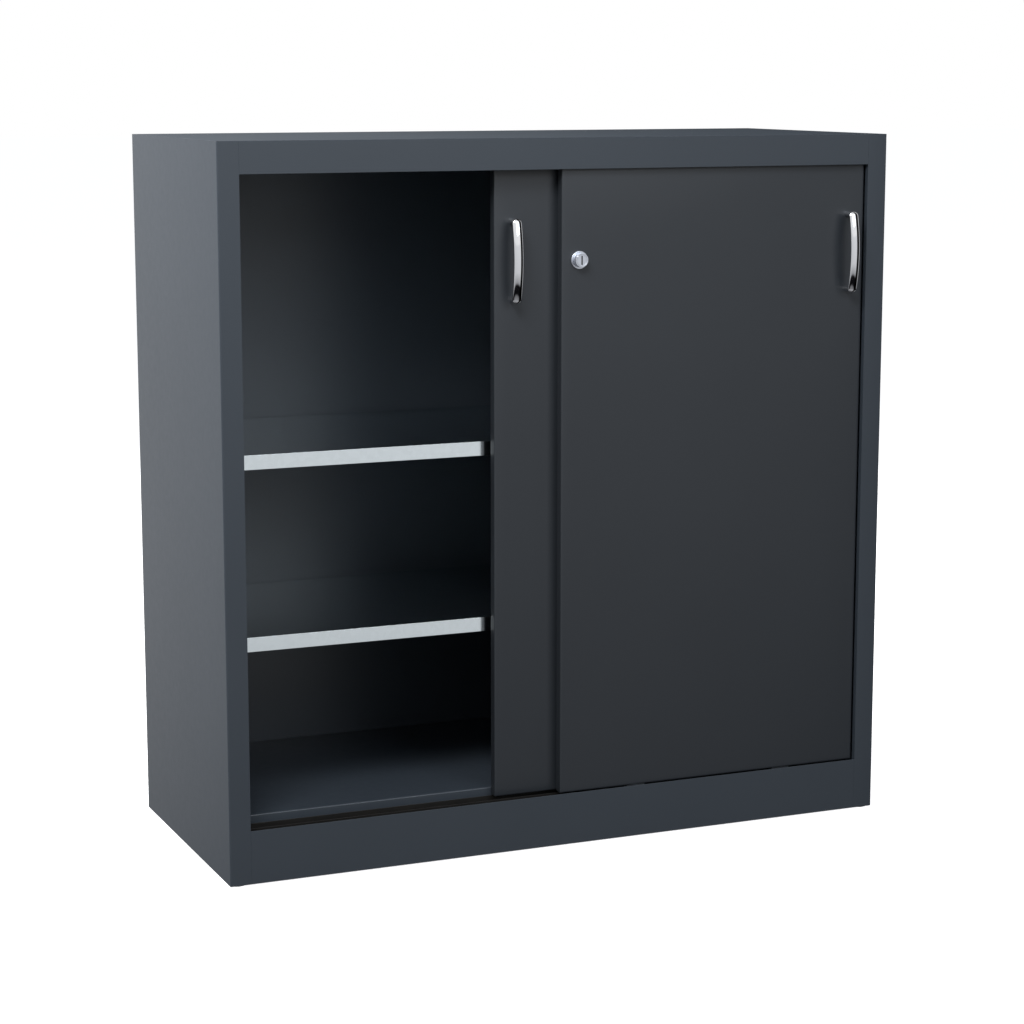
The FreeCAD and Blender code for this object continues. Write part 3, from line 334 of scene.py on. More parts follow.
def lay_surface(tree, shader, colours, roughness, relief):
    """Link the three layers; each is a pattern and two values, and a relief's are strength and depth."""
    pattern, dark, light = colours
    share = add_node(tree, "ShaderNodeMapRange", {"Value": pattern, **NOISE_MIDDLE})
    shade = add_node(tree, "ShaderNodeMix", {"Factor": share.outputs[0], "A": srgb(dark),
                                             "B": srgb(light)}, data_type="RGBA")
    pattern, low, high = roughness
    gloss = add_node(tree, "ShaderNodeMapRange", {"Value": pattern, **NOISE_MIDDLE,
                                                  "To Min": low, "To Max": high})
    pattern, strength, depth = relief
    bump = add_node(tree, "ShaderNodeBump", {"Height": pattern, "Strength": strength,
                                             "Distance": depth})
    for layer, name in ((shade.outputs["Result"], "Base Color"), (gloss.outputs[0], "Roughness"),
                        (bump.outputs[0], "Normal")):
        tree.links.new(layer, shader.inputs[name])


print("a pattern of 1 mm has a scale of", round(1 / MM), "per metre")

# %% [markdown]
# ### Powder coat
#
# The carcass and the doors are anthracite polyester powder, baked on. Powder never flows out quite flat.
# It keeps a faint orange peel with waves of two or three millimetres, which the Bump node draws, and a
# semi-gloss that blurs what it mirrors, which is the roughness. Real peel is a few thousandths of a
# millimetre high, far too flat to be worth any geometry. Resins have an IOR of about 1.5.

# %% Make the powder coat
RESIN_IOR = 1.5
SHADE_CLOUD = 220 * MM
GLOSS_CLOUD = 9 * MM
COAT_ROUGHNESS = (0.345, 0.375)
PEEL_WAVE = 2.6 * MM
PEEL_STRENGTH = 0.6
PEEL_HEIGHT = 0.004 * MM


def powder_coat(name, dark, light):
    """Semi-gloss polyester powder coat with orange peel."""
    material, tree, shader = new_finish(name, IOR=RESIN_IOR)
    lay_surface(tree, shader, colours=(grain(tree, SHADE_CLOUD), dark, light),
                roughness=(grain(tree, GLOSS_CLOUD), *COAT_ROUGHNESS),
                relief=(grain(tree, PEEL_WAVE, detail=1.0), PEEL_STRENGTH, PEEL_HEIGHT))
    return material


finishes = {
    "carcass_paint": powder_coat("powder_coat_carcass", "373E46", "394048"),
    "door_paint": powder_coat("powder_coat_doors", "2C3035", "2E3237"),
}
print("powder coat for", sorted(finishes))

# %% [markdown]
# ### Galvanised sheet
#
# The shelves are steel dipped in molten zinc. Zinc freezes in flat crystals, the spangle, and a smooth
# roll then presses them almost level, so they differ only a little in shade and gloss. Voronoi cells are
# the natural choice for crystals that grow until they meet: each cell has one random shade.

# %% Make the galvanised sheet
SPANGLE = 6 * MM
ZINC_ROUGHNESS = (0.145, 0.155)
ROLL_MARKS = 1.2 * MM
ROLL_STRENGTH = 0.3
ROLL_DEPTH = 0.001 * MM


def rolled_zinc(name, dark, light):
    """Galvanised sheet: faint crystals a few millimetres wide, rolled smooth."""
    material, tree, shader = new_finish(name, Metallic=1.0)
    where = add_node(tree, "ShaderNodeTexCoord").outputs["Object"]
    crystals = add_node(tree, "ShaderNodeTexVoronoi", {"Vector": where, "Scale": 1 / SPANGLE})
    shade = add_node(tree, "ShaderNodeSeparateColor", {"Color": crystals.outputs["Color"]}).outputs[0]
    lay_surface(tree, shader, colours=(shade, dark, light), roughness=(shade, *ZINC_ROUGHNESS),
                relief=(grain(tree, ROLL_MARKS, detail=1.0), ROLL_STRENGTH, ROLL_DEPTH))
    return material


finishes["galvanised_sheet"] = rolled_zinc("galvanised_sheet", "E3EBEE", "E6EEF1")
print("crystals of", round(SPANGLE / MM), "mm")

# %% [markdown]
# ### Chrome
#
# The handles are die-cast zinc, polished and then chromed. Chrome has one colour, a faintly cool grey,
# and mirrors the room sharply. A perfect mirror would look drawn: the polishing wheel leaves slow waves
# about a centimetre long and a trace of haze, and both are added here.

# %% Make the chrome
CHROME_COLOUR = "E4E5E8"
HAZE = 3 * MM
CHROME_ROUGHNESS = (0.03, 0.06)
POLISH_WAVE = 12 * MM
POLISH_STRENGTH = 0.3
POLISH_DEPTH = 0.02 * MM


def polished_chrome(name, colour):
    """Mirror-bright chrome plate with the faint waviness of a hand-polished casting."""
    material, tree, shader = new_finish(name, Metallic=1.0)
    haze = grain(tree, HAZE)
    lay_surface(tree, shader, colours=(haze, colour, colour), roughness=(haze, *CHROME_ROUGHNESS),
                relief=(grain(tree, POLISH_WAVE, detail=0.0), POLISH_STRENGTH, POLISH_DEPTH))
    return material


finishes["chrome_plate"] = polished_chrome("chrome_plate", CHROME_COLOUR)
print("chrome:", CHROME_COLOUR)

# %% [markdown]
# ### Satin metals
#
# The lock's face is satin nickel, and brackets, screws and axles are zinc-plated steel. Both are plated
# over a surface that was tumbled or drawn, not polished, so they have a fine grain and soft highlights.
# One function makes them, and also the brass inside the key slot, which is rougher and painted nearly
# black:
# that dark colour stands in for the shade deep in the narrow slot.

# %% Make the satin metals
PLATE_CLOUD = 4 * MM
PLATE_GRAIN = 0.4 * MM
PLATE_SPREAD = 0.04
PLATE_STRENGTH = 0.2
PLATE_DEPTH = 0.005 * MM


def satin_plate(name, dark, light, rough):
    """Plated steel, zinc or brass with a satin grain."""
    material, tree, shader = new_finish(name, Metallic=1.0)
    fine = grain(tree, PLATE_GRAIN)
    lay_surface(tree, shader, colours=(grain(tree, PLATE_CLOUD), dark, light),
                roughness=(fine, rough - PLATE_SPREAD, rough + PLATE_SPREAD),
                relief=(fine, PLATE_STRENGTH, PLATE_DEPTH))
    return material


finishes["satin_nickel"] = satin_plate("satin_nickel", "CFD3DC", "D9DDE5", rough=0.32)
finishes["zinc_steel"] = satin_plate("zinc_plated_steel", "9EA4AC", "B3B8BE", rough=0.34)
# Unplated brass really lines the keyway, but this near-black colour is mostly painted shade for the deep,
# narrow slot.
brass_with_painted_shade = satin_plate("brass_with_painted_shade", "231F19", "322C22", rough=0.5)
print("metals ready, finishes:", len(finishes))

# %% [markdown]
# ### Plastics and rubber
#
# The tracks are extruded PVC, so any marks run along them, which is noise stretched along X. The rollers
# and glides are moulded acetal with the fine grain of a spark-eroded mould, and the stops are matt
# rubber. All three are one function with other values.

# %% Make the plastics and the rubber
RESIN_CLOUD = 20 * MM
RESIN_SPREAD = 0.05
GRAIN_STRENGTH = 0.4
GRAIN_DEPTH = 0.02 * MM
ALONG_THE_TRACK = (60, 1, 1)


def moulded(name, dark, light, rough, grit, stretch=(1, 1, 1)):
    """A plastic or rubber with a fine surface grain."""
    material, tree, shader = new_finish(name, IOR=RESIN_IOR)
    fine = grain(tree, grit, stretch=stretch)
    lay_surface(tree, shader, colours=(grain(tree, RESIN_CLOUD), dark, light),
                roughness=(fine, rough - RESIN_SPREAD, rough + RESIN_SPREAD),
                relief=(fine, GRAIN_STRENGTH, GRAIN_DEPTH))
    return material


finishes["black_plastic"] = moulded("extruded_pvc", "131211", "1B1917", rough=0.45, grit=0.8 * MM,
                                    stretch=ALONG_THE_TRACK)
finishes["roller_plastic"] = moulded("moulded_acetal", "26272A", "303134", rough=0.38, grit=0.5 * MM)
finishes["stop_rubber"] = moulded("nitrile_rubber", "0E0E0E", "151515", rough=0.82, grit=0.4 * MM)
print("finishes:", sorted(finishes))

# %% [markdown]
# ## Rounding the folded sheets
#
# The engineering parts have the right shape but knife-sharp cut edges, and no real sheet has those: the
# shears leave a small radius and the paint rounds it further. A rounded edge is what catches a thin line
# of light. The shader's own bevel would only fake it, so a Bevel modifier rounds the mesh. A part of the
# frame is never changed, so each one is copied. Its mesh is loose triangles, which are welded first, and
# triangles that lie flat in one plane are joined to one face, so that only true edges are rounded.

# %% Copy and weld a part
WELD_GAP = 0.002 * MM
FLAT_ANGLE = math.radians(0.4)
SHARP_ANGLE = math.radians(28)


def shade(mesh, angle=SHARP_ANGLE):
    """Shade a mesh smooth, with sharp edges only where the slope breaks."""
    mesh.shade_smooth()
    mesh.set_sharp_from_angle(angle=angle)
    return mesh


def welded_copy(node):
    """A part's mesh with its triangles welded, its flat faces joined and its arcs smooth."""
    shell = bmesh.new()
    shell.from_mesh(frame["nodes"][node].data)
    bmesh.ops.remove_doubles(shell, verts=shell.verts, dist=WELD_GAP)
    bmesh.ops.dissolve_limit(shell, angle_limit=FLAT_ANGLE, verts=shell.verts, edges=shell.edges)
    mesh = bpy.data.meshes.new(node)
    shell.to_mesh(mesh)
    shell.free()
    for name in ("custom_normal", "sharp_face", "sharp_edge"):
        if name in mesh.attributes:
            mesh.attributes.remove(mesh.attributes[name])
    return shade(mesh)


floor_copy = welded_copy("floor_panel")
print("floor panel:", len(frame["nodes"]["floor_panel"].data.polygons), "triangles become",
      len(floor_copy.polygons), "faces")
bpy.data.meshes.remove(floor_copy)

# %% [markdown]
# ### From a mesh to a piece
#
# A mesh becomes a piece of the cabinet when it says three things: which body it rides on, so that it
# moves with its door, which finish it has, and which part of the engineering model it stands for. The
# record of the model knows the first two for every part.

# %% Put a piece in a part's place
ROUNDING_STEPS = 2

slot_of = {part["node"]: part["material_slot"] for part in frame["record"]["subparts"]}
body_of = {node: body for body, nodes in frame["record"]["behaviour"]["bodies"].items()
           for node in nodes}


def add_piece(node, mesh, word):
    """Put a mesh in the place of a part: on the same body and with the same finish."""
    piece = bpy.data.objects.new(f"{node}_{word}", mesh)
    bpy.context.scene.collection.objects.link(piece)
    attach(piece, body_of[node])
    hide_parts(node)
    if not mesh.materials:
        mesh.materials.append(finishes[slot_of[node]])
    return piece


def round_edges(piece, radius):
    """Round a piece's sharp edges with a small bevel."""
    bevel = piece.modifiers.new("rounded_edges", "BEVEL")
    bevel.width = radius
    bevel.segments = ROUNDING_STEPS
    bevel.limit_method = "ANGLE"
    bevel.angle_limit = SHARP_ANGLE
    bevel.harden_normals = True


# %% [markdown]
# ### Every plain part in one loop
#
# How round an edge gets depends on how it was made: powder rounds more than zinc, and rubber is never
# sharp. So the radius comes with the finish, and one loop dresses all parts that need nothing else. The
# handles, the screws, the spring and the sheets with weld marks are left out, because they get meshes of
# their own further down.

# %% Copy and round the plain parts
# For each finish, the word for it in a piece's name, and the radius that it leaves on an edge.
EDGES = {"carcass_paint": ("painted", 0.30 * MM), "door_paint": ("painted", 0.30 * MM),
         "galvanised_sheet": ("galvanised", 0.22 * MM), "satin_nickel": ("nickelled", 0.35 * MM),
         "black_plastic": ("extruded", 0.25 * MM), "roller_plastic": ("moulded", 0.30 * MM),
         "stop_rubber": ("rubber", 0.60 * MM), "zinc_steel": ("plated", 0.20 * MM)}
HANDLES = ("left_handle", "right_handle")
SCREWS = ("upper_track_screws", "left_handle_screws", "right_handle_screws")
REAR_FLANGES = ("side_panel_left", "side_panel_right", "top_panel")
OWN_MESHES = (*HANDLES, *SCREWS, *REAR_FLANGES, "lock_spring")

plain = [node for node in slot_of if node not in OWN_MESHES]
for node in plain:
    word, radius = EDGES[slot_of[node]]
    round_edges(add_piece(node, welded_copy(node), word), radius)
print("rounded", len(plain), "parts")

# %% [markdown]
# ### The keyway
#
# The slot in the key plug is a broached hole in a brass cylinder, which plating doesn't reach. Little
# light gets into a slot this deep and narrow, and that shade is painted: the faces inside the slot get a
# second, nearly black material, so that the slot looks dark next to the satin face. A darker plug behind
# the face would be one more piece to carry along.

# %% Paint shade inside the keyway
SLOT_HALF_WIDTH = 1.0 * MM
SLOT_HALF_LENGTH = 6.4 * MM
SLOT_LIP = 0.1 * MM

plug = bpy.data.objects["lock_plug_nickelled"].data
plug_low, plug_high = (Vector(corner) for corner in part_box("lock_plug"))
plug_middle = (plug_low + plug_high) / 2
# The second material is painted shade: near-black brass on the faces deep inside the slot.
plug.materials.append(brass_with_painted_shade)
inside = [face for face in plug.polygons
          if abs(face.center.x - plug_middle.x) < SLOT_HALF_WIDTH
          and abs(face.center.z - plug_middle.z) < SLOT_HALF_LENGTH
          and plug_low.y + SLOT_LIP < face.center.y < plug_high.y - SLOT_LIP]
for face in inside:
    face.material_index = 1
print("faces inside the keyway:", len(inside))

# %% [markdown]
# ## Geometry Nodes helpers
#
# What repeats or follows a rule is built with Geometry Nodes. A node tree gets one named input for each
# size, so the same tree can make both handles or every screw, and anyone can change a size in the
# modifier panel. The result is turned into a plain mesh, because a piece has to be one simple mesh when
# it is handed on.

# %% Start and end a node tree
def new_tree(name, inputs):
    """A Geometry Nodes tree with named inputs, each of the kind given, and one more for the finish."""
    tree = bpy.data.node_groups.new(name, "GeometryNodeTree")
    tree.interface.new_socket("Geometry", in_out="OUTPUT", socket_type="NodeSocketGeometry")
    for title, kind in {**inputs, "Finish": "Material"}.items():
        tree.interface.new_socket(title, in_out="INPUT", socket_type=f"NodeSocket{kind}")
    return tree, add_node(tree, "NodeGroupInput").outputs


def end_tree(tree, given, *parts):
    """Join the parts, realize the instances, set the material and connect the output."""
    whole = add_node(tree, "GeometryNodeJoinGeometry")
    for part in parts:
        tree.links.new(part, whole.inputs[0])
    real = add_node(tree, "GeometryNodeRealizeInstances", {"Geometry": whole.outputs[0]})
    done = add_node(tree, "GeometryNodeSetMaterial", {"Geometry": real.outputs[0],
                                                      "Material": given["Finish"]})
    add_node(tree, "NodeGroupOutput", {"Geometry": done.outputs[0]})
    print(tree.name, "tree:", len(tree.nodes), "nodes")
    return tree


print("every tree ends in Realize Instances and Set Material")

# %% Run a tree and keep its mesh
def grown_mesh(tree, node, values, start=None):
    """Run a tree with the values and finish of a part, on a mesh if one is given; return a plain mesh."""
    values = {**values, "Finish": finishes[slot_of[node]]}
    maker = bpy.data.objects.new(tree.name, start or bpy.data.meshes.new(tree.name))
    bpy.context.scene.collection.objects.link(maker)
    modifier = maker.modifiers.new(tree.name, "NODES")
    modifier.node_group = tree
    for item in tree.interface.items_tree:
        if item.in_out == "INPUT" and item.name in values:
            modifier[item.identifier] = values[item.name]
    graph = bpy.context.evaluated_depsgraph_get()
    grown = bpy.data.meshes.new_from_object(maker.evaluated_get(graph))
    maker.modifiers.remove(modifier)
    bpy.data.objects.remove(maker)
    return grown


def outward(mesh):
    """Turn every face outwards and shade the mesh."""
    shell = bmesh.new()
    shell.from_mesh(mesh)
    bmesh.ops.recalc_face_normals(shell, faces=shell.faces)
    shell.to_mesh(mesh)
    shell.free()
    return shade(mesh)


print("Geometry Nodes helpers ready")

# %% [markdown]
# ## Spot welds
#
# The back tray is spot welded to the flanges behind the sides and the top. Each weld leaves a shallow
# crater with a flat bottom where the copper electrode pressed, and paint never hides it. A bump texture
# would vanish from the mesh, so each crater is cut with a flat cone. Mesh Line gives the row of points,
# Instance on Points puts a cone on each, and Mesh Boolean takes them all from the sheet in one go. The
# cone starts as far outside the sheet as the crater is deep, so that no two faces lie in one plane.

# %% Make the tree that presses a row of weld marks
MARK_SIDES = 24


def weld_mark_tree():
    """Cuts a row of shallow craters into a sheet's rear face."""
    tree, given = new_tree("spot_welds", {
        "Sheet": "Geometry", "First": "Vector", "Step": "Vector", "Marks": "Int",
        "Bottom Radius": "Float", "Cone Radius": "Float", "Cone Height": "Float"})
    row = add_node(tree, "GeometryNodeMeshLine", {"Count": given["Marks"], "Offset": given["Step"],
                                                  "Start Location": given["First"]})
    cone = add_node(tree, "GeometryNodeMeshCone",
                    {"Vertices": MARK_SIDES, "Radius Top": given["Bottom Radius"],
                     "Radius Bottom": given["Cone Radius"], "Depth": given["Cone Height"]})
    cones = add_node(tree, "GeometryNodeInstanceOnPoints",
                     {"Points": row.outputs["Mesh"], "Instance": cone.outputs["Mesh"],
                      "Rotation": (math.pi / 2, 0, 0)})
    bits = add_node(tree, "GeometryNodeRealizeInstances", {"Geometry": cones.outputs[0]})
    marked = add_node(tree, "GeometryNodeMeshBoolean", {"Mesh 1": given["Sheet"]},
                      operation="DIFFERENCE")
    tree.links.new(bits.outputs[0], marked.inputs["Mesh 2"])
    return end_tree(tree, given, marked.outputs["Mesh"])


weld_tree = weld_mark_tree()

# %% Press the marks into the rear flanges
MARK_RADIUS = 2.0 * MM
MARK_SLOPE = 0.8 * MM
MARK_DEPTH = 0.18 * MM
MARK_EDGE = math.radians(8)
MARKS_IN_ROW = 12
ROW_INSET = 11 * MM
ROW_MARGIN = 45 * MM


def row_ends(node):
    """The first and last mark on a flange: along the top sheet, or up a side sheet."""
    low, high = (Vector(corner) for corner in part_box(node))
    outside = high.y + MARK_DEPTH
    if node == "top_panel":
        row_z = high.z - ROW_INSET
        return (Vector((low.x + ROW_MARGIN, outside, row_z)),
                Vector((high.x - ROW_MARGIN, outside, row_z)))
    row_x = low.x + ROW_INSET if high.x < 0 else high.x - ROW_INSET
    return (Vector((row_x, outside, low.z + ROW_MARGIN)),
            Vector((row_x, outside, high.z - ROW_MARGIN)))


for node in REAR_FLANGES:
    first, last = row_ends(node)
    marked = grown_mesh(weld_tree, node, {
        "First": first, "Step": (last - first) / (MARKS_IN_ROW - 1), "Marks": MARKS_IN_ROW,
        "Bottom Radius": MARK_RADIUS, "Cone Radius": MARK_RADIUS + 2 * MARK_SLOPE,
        "Cone Height": 2 * MARK_DEPTH}, welded_copy(node))
    word, radius = EDGES[slot_of[node]]
    round_edges(add_piece(node, shade(marked, MARK_EDGE), word), radius)
    print(node, "has", MARKS_IN_ROW, "weld marks,", len(marked.polygons), "faces")

# %% [markdown]
# ## The bow handles
#
# A bow handle is one zinc casting: an arched bar with an oval section that rounds off at both tips, on
# two round legs. A box with a bevel would look flat, so the bar is swept. An arc through three points is
# the path, an oval is the section, and the section shrinks to nothing over the last few millimetres,
# which makes the round tips. Polished chrome shows every change of slope, so the sweep has many
# stations. In the tree the door's face is at Y = 0, and the handle stands up along Z about its middle.

# %% Lay the path and shrink the section at its tips
BAR_STATIONS = 220


def arched_path(tree, given):
    """An arc through three points that keeps its section upright."""
    arc = add_node(tree, "GeometryNodeCurveArc",
                   {"Resolution": BAR_STATIONS, "Start": given["Start"], "Middle": given["Crown"],
                    "End": given["End"]}, mode="POINTS")
    return add_node(tree, "GeometryNodeSetCurveNormal", {"Curve": arc.outputs[0],
                                                         "Normal": (1.0, 0.0, 0.0)}, mode="FREE")


def rounded_tips(tree, given, path):
    """The section's share of its full size: a quarter circle over each tip, and 1 between them."""
    along = add_node(tree, "GeometryNodeSplineParameter").outputs["Length"]
    run = add_node(tree, "GeometryNodeCurveLength", {"Curve": path.outputs[0]})
    rest = add_node(tree, "ShaderNodeMath", {0: run.outputs[0], 1: along}, operation="SUBTRACT")
    from_tip = add_node(tree, "ShaderNodeMath", {0: along, 1: rest.outputs[0]}, operation="MINIMUM")
    missing = add_node(tree, "ShaderNodeMapRange",
                       {"Value": from_tip.outputs[0], "From Min": 0.0, "From Max": given["Tip"],
                        "To Min": 1.0, "To Max": 0.0})
    slope = add_node(tree, "ShaderNodeMath", {0: missing.outputs[0]}, operation="ARCCOSINE")
    return add_node(tree, "ShaderNodeMath", {0: slope.outputs[0]}, operation="SINE").outputs[0]


print("stations along a bar:", BAR_STATIONS)

# %% Sweep the bar and stand it on two legs
SECTION_POINTS = 48
LEG_POINTS = 32
SEAL_GAP = 0.01 * MM


def swept_bar(tree, given):
    """The oval section, swept along the arched path and sealed at both tips."""
    path = arched_path(tree, given)
    ring = add_node(tree, "GeometryNodeCurvePrimitiveCircle", {"Resolution": SECTION_POINTS,
                                                               "Radius": 1.0})
    oval = add_node(tree, "GeometryNodeTransform", {"Geometry": ring.outputs[0],
                                                    "Scale": given["Half Section"]})
    bar = add_node(tree, "GeometryNodeCurveToMesh", {"Curve": path.outputs[0],
                                                     "Profile Curve": oval.outputs[0],
                                                     "Scale": rounded_tips(tree, given, path)})
    return add_node(tree, "GeometryNodeMergeByDistance", {"Geometry": bar.outputs[0],
                                                          "Distance": SEAL_GAP}).outputs[0]


def two_legs(tree, given):
    """A round leg on each of two feet."""
    line = add_node(tree, "GeometryNodeCurvePrimitiveLine", {"End": given["Leg"]})
    disc = add_node(tree, "GeometryNodeCurvePrimitiveCircle", {"Resolution": LEG_POINTS,
                                                               "Radius": given["Leg Radius"]})
    leg = add_node(tree, "GeometryNodeCurveToMesh", {"Curve": line.outputs[0], "Fill Caps": True,
                                                     "Profile Curve": disc.outputs[0]})
    feet = add_node(tree, "GeometryNodeMeshLine", {"Count": 2, "Start Location": given["First Foot"],
                                                   "Offset": given["Between Feet"]})
    return add_node(tree, "GeometryNodeInstanceOnPoints", {"Points": feet.outputs["Mesh"],
                                                           "Instance": leg.outputs[0]}).outputs[0]


def bow_handle_tree():
    """The whole handle: a swept bar on two legs."""
    tree, given = new_tree("bow_handle", {
        "Start": "Vector", "Crown": "Vector", "End": "Vector", "Half Section": "Vector", "Tip": "Float",
        "First Foot": "Vector", "Between Feet": "Vector", "Leg": "Vector", "Leg Radius": "Float"})
    return end_tree(tree, given, swept_bar(tree, given), two_legs(tree, given))


handle_tree = bow_handle_tree()

# %% Make both handles
HANDLE_THICKNESS = 7.0 * MM
HANDLE_BOW = 8.0 * MM
TIP_LENGTH = 6.5 * MM
LEG_RADIUS = 4.0 * MM
LEG_INSET = 5.0 * MM
# A leg ends inside the bar, at this share of the way to the bar's middle at its tips.
LEG_REACH = 0.98

for node in HANDLES:
    low, high = (Vector(corner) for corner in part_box(node))
    width, projection, length = high - low
    crown = HANDLE_THICKNESS / 2 - projection
    end = crown + HANDLE_BOW
    foot = length / 2 - LEG_INSET
    handle = grown_mesh(handle_tree, node, {
        "Start": (0, end, -length / 2), "Crown": (0, crown, 0), "End": (0, end, length / 2),
        "Half Section": (width / 2, HANDLE_THICKNESS / 2, 1), "Tip": TIP_LENGTH,
        "First Foot": (0, 0, -foot), "Between Feet": (0, 0, 2 * foot),
        "Leg": (0, LEG_REACH * end, 0), "Leg Radius": LEG_RADIUS})
    handle.transform(Matrix.Translation(((low.x + high.x) / 2, high.y, (low.z + high.z) / 2)))
    add_piece(node, outward(handle), "chromed")
    print(node, "swept with", len(handle.polygons), "faces")

# %% [markdown]
# ## Screws
#
# The upper track hangs on four small pan-head screws, and each handle is held by two from inside the
# door. One could model a screw once and place copies by hand, but the frame already knows where each
# one sits. So the separate solids of a part are found first, and the tree puts a screw on each of them.

# %% Find the solids of a part
def solids_of(node):
    """The lowest and highest corner of each separate solid of a part, in metres."""
    shell = bmesh.new()
    shell.from_mesh(frame["nodes"][node].data)
    bmesh.ops.remove_doubles(shell, verts=shell.verts, dist=WELD_GAP)
    boxes, left = [], set(shell.verts)
    while left:
        group, edge = set(), [left.pop()]
        while edge:
            vert = edge.pop()
            group.add(vert)
            near = {other for link in vert.link_edges for other in link.verts} & left
            left -= near
            edge.extend(near)
        boxes.append(tuple(Vector([pick(v.co[axis] for v in group) for axis in range(3)])
                           for pick in (min, max)))
    shell.free()
    return sorted(boxes, key=lambda box: tuple(round(c / MM) for c in box[0]))


print("track screws:", [[round(c / MM) for c in low] for low, _ in solids_of("upper_track_screws")])

# %% [markdown]
# ### The pan head
#
# A pan head is a low dome with a flat top and a cross recess. Half a ball would be too pointed. So the
# tree starts from a cylinder with many rings and draws each ring in along a super-ellipse, which has
# steeper sides and a flatter top. Two crossed blades are then cut out. They go one after the other and to
# slightly different depths, because one Boolean with two overlapping blades leaves holes in the dome.

# %% Turn a cylinder into a pan head
HEAD_SIDES = 40
HEAD_RINGS = 10
HEAD_ROUNDING = 2.6
# The dome stops at this share of its full height, which leaves the flat top.
DOME_SHARE = 0.97


def domed_head(tree, given):
    """A pan head that rises from Z = 0."""
    height = given["Head Height"]
    drum = add_node(tree, "GeometryNodeMeshCylinder",
                    {"Vertices": HEAD_SIDES, "Side Segments": HEAD_RINGS,
                     "Radius": given["Head Radius"], "Depth": height})
    half = add_node(tree, "ShaderNodeMath", {0: height, 1: 0.5}, operation="MULTIPLY")
    up = add_node(tree, "ShaderNodeCombineXYZ", {"Z": half.outputs[0]})
    standing = add_node(tree, "GeometryNodeTransform", {"Geometry": drum.outputs["Mesh"],
                                                        "Translation": up.outputs[0]})
    spot = add_node(tree, "GeometryNodeInputPosition").outputs[0]
    level = add_node(tree, "ShaderNodeSeparateXYZ", {"Vector": spot}).outputs["Z"]
    rise = add_node(tree, "ShaderNodeMapRange", {"Value": level, "From Min": 0.0, "From Max": height,
                                                 "To Min": 0.0, "To Max": DOME_SHARE})
    steep = add_node(tree, "ShaderNodeMath", {0: rise.outputs[0], 1: HEAD_ROUNDING}, operation="POWER")
    left = add_node(tree, "ShaderNodeMath", {0: 1.0, 1: steep.outputs[0]}, operation="SUBTRACT")
    drawn = add_node(tree, "ShaderNodeMath", {0: left.outputs[0], 1: 1 / HEAD_ROUNDING},
                     operation="POWER").outputs[0]
    shares = add_node(tree, "ShaderNodeCombineXYZ", {"X": drawn, "Y": drawn, "Z": 1.0})
    place = add_node(tree, "ShaderNodeVectorMath", {0: spot, 1: shares.outputs[0]},
                     operation="MULTIPLY")
    return add_node(tree, "GeometryNodeSetPosition", {"Geometry": standing.outputs[0],
                                                      "Position": place.outputs[0]}).outputs[0]


print("rings of a head:", HEAD_RINGS)

# %% Cut the cross, add the shank, and put a screw on every point
SHANK_SIDES = 24


def crossed(tree, given, head):
    """The head less two crossed blades, which are centred on its top."""
    top = add_node(tree, "ShaderNodeCombineXYZ", {"Z": given["Head Height"]})
    for size in (given["First Blade"], given["Second Blade"]):
        blade = add_node(tree, "GeometryNodeMeshCube", {"Size": size})
        sunk = add_node(tree, "GeometryNodeTransform", {"Geometry": blade.outputs["Mesh"],
                                                        "Translation": top.outputs[0]})
        less = add_node(tree, "GeometryNodeMeshBoolean", {"Mesh 1": head}, operation="DIFFERENCE")
        tree.links.new(sunk.outputs[0], less.inputs["Mesh 2"])
        head = less.outputs["Mesh"]
    return head


def shank(tree, given):
    """A plain shank that hangs down from Z = 0."""
    length = given["Shank Length"]
    pin = add_node(tree, "GeometryNodeMeshCylinder",
                   {"Vertices": SHANK_SIDES, "Radius": given["Shank Radius"], "Depth": length})
    half = add_node(tree, "ShaderNodeMath", {0: length, 1: -0.5}, operation="MULTIPLY")
    down = add_node(tree, "ShaderNodeCombineXYZ", {"Z": half.outputs[0]})
    return add_node(tree, "GeometryNodeTransform", {"Geometry": pin.outputs["Mesh"],
                                                    "Translation": down.outputs[0]}).outputs[0]


def pan_head_tree():
    """A screw on every point of a mesh. Its seat is at the point, and its head rises along +Z."""
    tree, given = new_tree("pan_head_screws", {
        "Places": "Geometry", "Turn": "Rotation", "Head Radius": "Float", "Head Height": "Float",
        "First Blade": "Vector", "Second Blade": "Vector", "Shank Radius": "Float",
        "Shank Length": "Float"})
    screw = add_node(tree, "GeometryNodeJoinGeometry")
    for part in (crossed(tree, given, domed_head(tree, given)), shank(tree, given)):
        tree.links.new(part, screw.inputs[0])
    placed = add_node(tree, "GeometryNodeInstanceOnPoints",
                      {"Points": given["Places"], "Instance": screw.outputs[0],
                       "Rotation": given["Turn"]})
    return end_tree(tree, given, placed.outputs[0])


screw_tree = pan_head_tree()

# %% Make the screws
# The side that a head faces, the turn about X to that side, and the head's height.
TRACK_SCREW = (Vector((0, 0, -1)), math.pi, 1.6 * MM)
HANDLE_SCREW = (Vector((0, 1, 0)), -math.pi / 2, 2.6 * MM)
# Shares of the head's radius, and the recess's two depths as shares of its height.
SHANK_SHARE = 0.5
RECESS_LENGTH = 1.10
RECESS_WIDTH = 0.22
RECESS_DEPTHS = (0.5, 0.47)

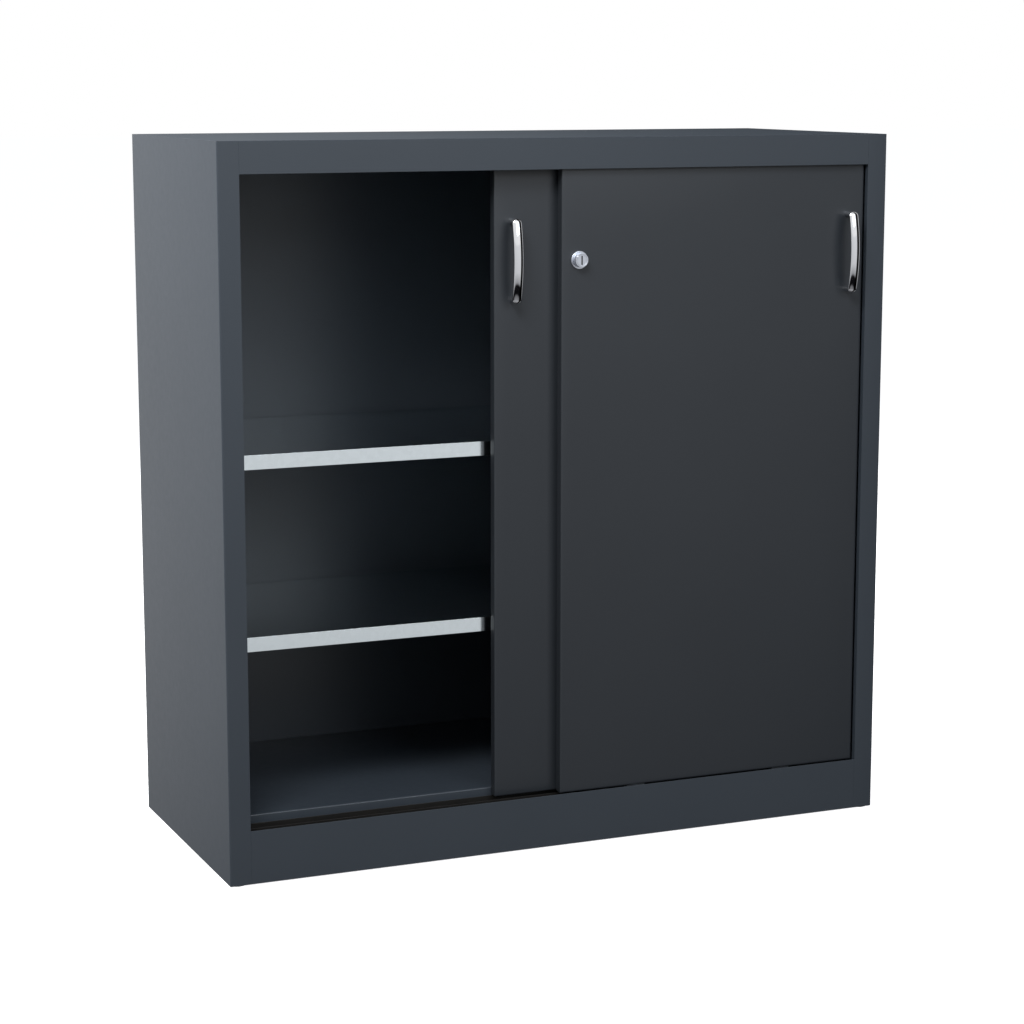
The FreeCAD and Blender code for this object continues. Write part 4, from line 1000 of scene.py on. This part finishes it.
for node in SCREWS:
    side, turn, height = TRACK_SCREW if node == "upper_track_screws" else HANDLE_SCREW
    boxes = solids_of(node)
    size = boxes[0][1] - boxes[0][0]
    radius, length = size.x / 2, abs(size.dot(side))
    seats = [(low + high) / 2 + side * (length / 2 - height) for low, high in boxes]
    places = bpy.data.meshes.new(node)
    places.from_pydata(seats, [], [])
    long, wide = RECESS_LENGTH * radius, RECESS_WIDTH * radius
    first_depth, second_depth = (2 * share * height for share in RECESS_DEPTHS)
    screws = grown_mesh(screw_tree, node, {
        "Head Radius": radius, "Head Height": height, "Shank Radius": SHANK_SHARE * radius,
        "Shank Length": length - height, "Turn": (turn, 0, 0),
        "First Blade": (long, wide, first_depth), "Second Blade": (wide, long, second_depth)}, places)
    add_piece(node, outward(screws), "plated")
    print(node, len(seats), "screws,", len(screws.polygons), "faces")

# %% [markdown]
# ## The lock's spring
#
# Behind the lock's plunger sits a conical coil of spring steel. Its turns are wider at the back, so that
# they can nest in each other when the plunger is pushed in. A stack of rings would miss the slope of the
# wire. The Spiral node draws exactly that line, and a circle is swept along it.

# %% Make the tree that winds a spring
COIL_STEPS = 160
WIRE_POINTS = 14


def coil_tree():
    """A conical spring along Z, wide end at the top."""
    tree, given = new_tree("conical_spring", {"Turns": "Float", "Low Radius": "Float",
                                              "High Radius": "Float", "Height": "Float",
                                              "Wire": "Float"})
    line = add_node(tree, "GeometryNodeCurveSpiral",
                    {"Resolution": COIL_STEPS, "Rotations": given["Turns"],
                     "Start Radius": given["Low Radius"], "End Radius": given["High Radius"],
                     "Height": given["Height"]})
    wire = add_node(tree, "GeometryNodeCurvePrimitiveCircle", {"Resolution": WIRE_POINTS,
                                                               "Radius": given["Wire"]})
    coil = add_node(tree, "GeometryNodeCurveToMesh", {"Curve": line.outputs[0], "Fill Caps": True,
                                                      "Profile Curve": wire.outputs[0]})
    return end_tree(tree, given, coil.outputs[0])


spring_tree = coil_tree()

# %% Wind the spring and let it shorten
WIRE_RADIUS = 0.35 * MM
COIL_PITCH = 1.6 * MM
FRONT_RADIUS = 5.2 * MM

low, high = (Vector(corner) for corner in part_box("lock_spring"))
plunger_low, plunger_high = (Vector(corner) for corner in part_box("lock_plunger"))
middle = (plunger_low + plunger_high) / 2
coil_length = high.y - low.y
coil_height = coil_length - 2 * WIRE_RADIUS
coil = grown_mesh(spring_tree, "lock_spring", {
    "Turns": coil_height / COIL_PITCH, "Low Radius": FRONT_RADIUS,
    "High Radius": max(high.x - middle.x, middle.x - low.x) - WIRE_RADIUS,
    "Height": coil_height, "Wire": WIRE_RADIUS})
coil.transform(Matrix.Translation((middle.x, low.y + WIRE_RADIUS, middle.z))
               @ Matrix.Rotation(-math.pi / 2, 4, "X"))
spring = add_piece("lock_spring", outward(coil), "wound")
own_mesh(spring)
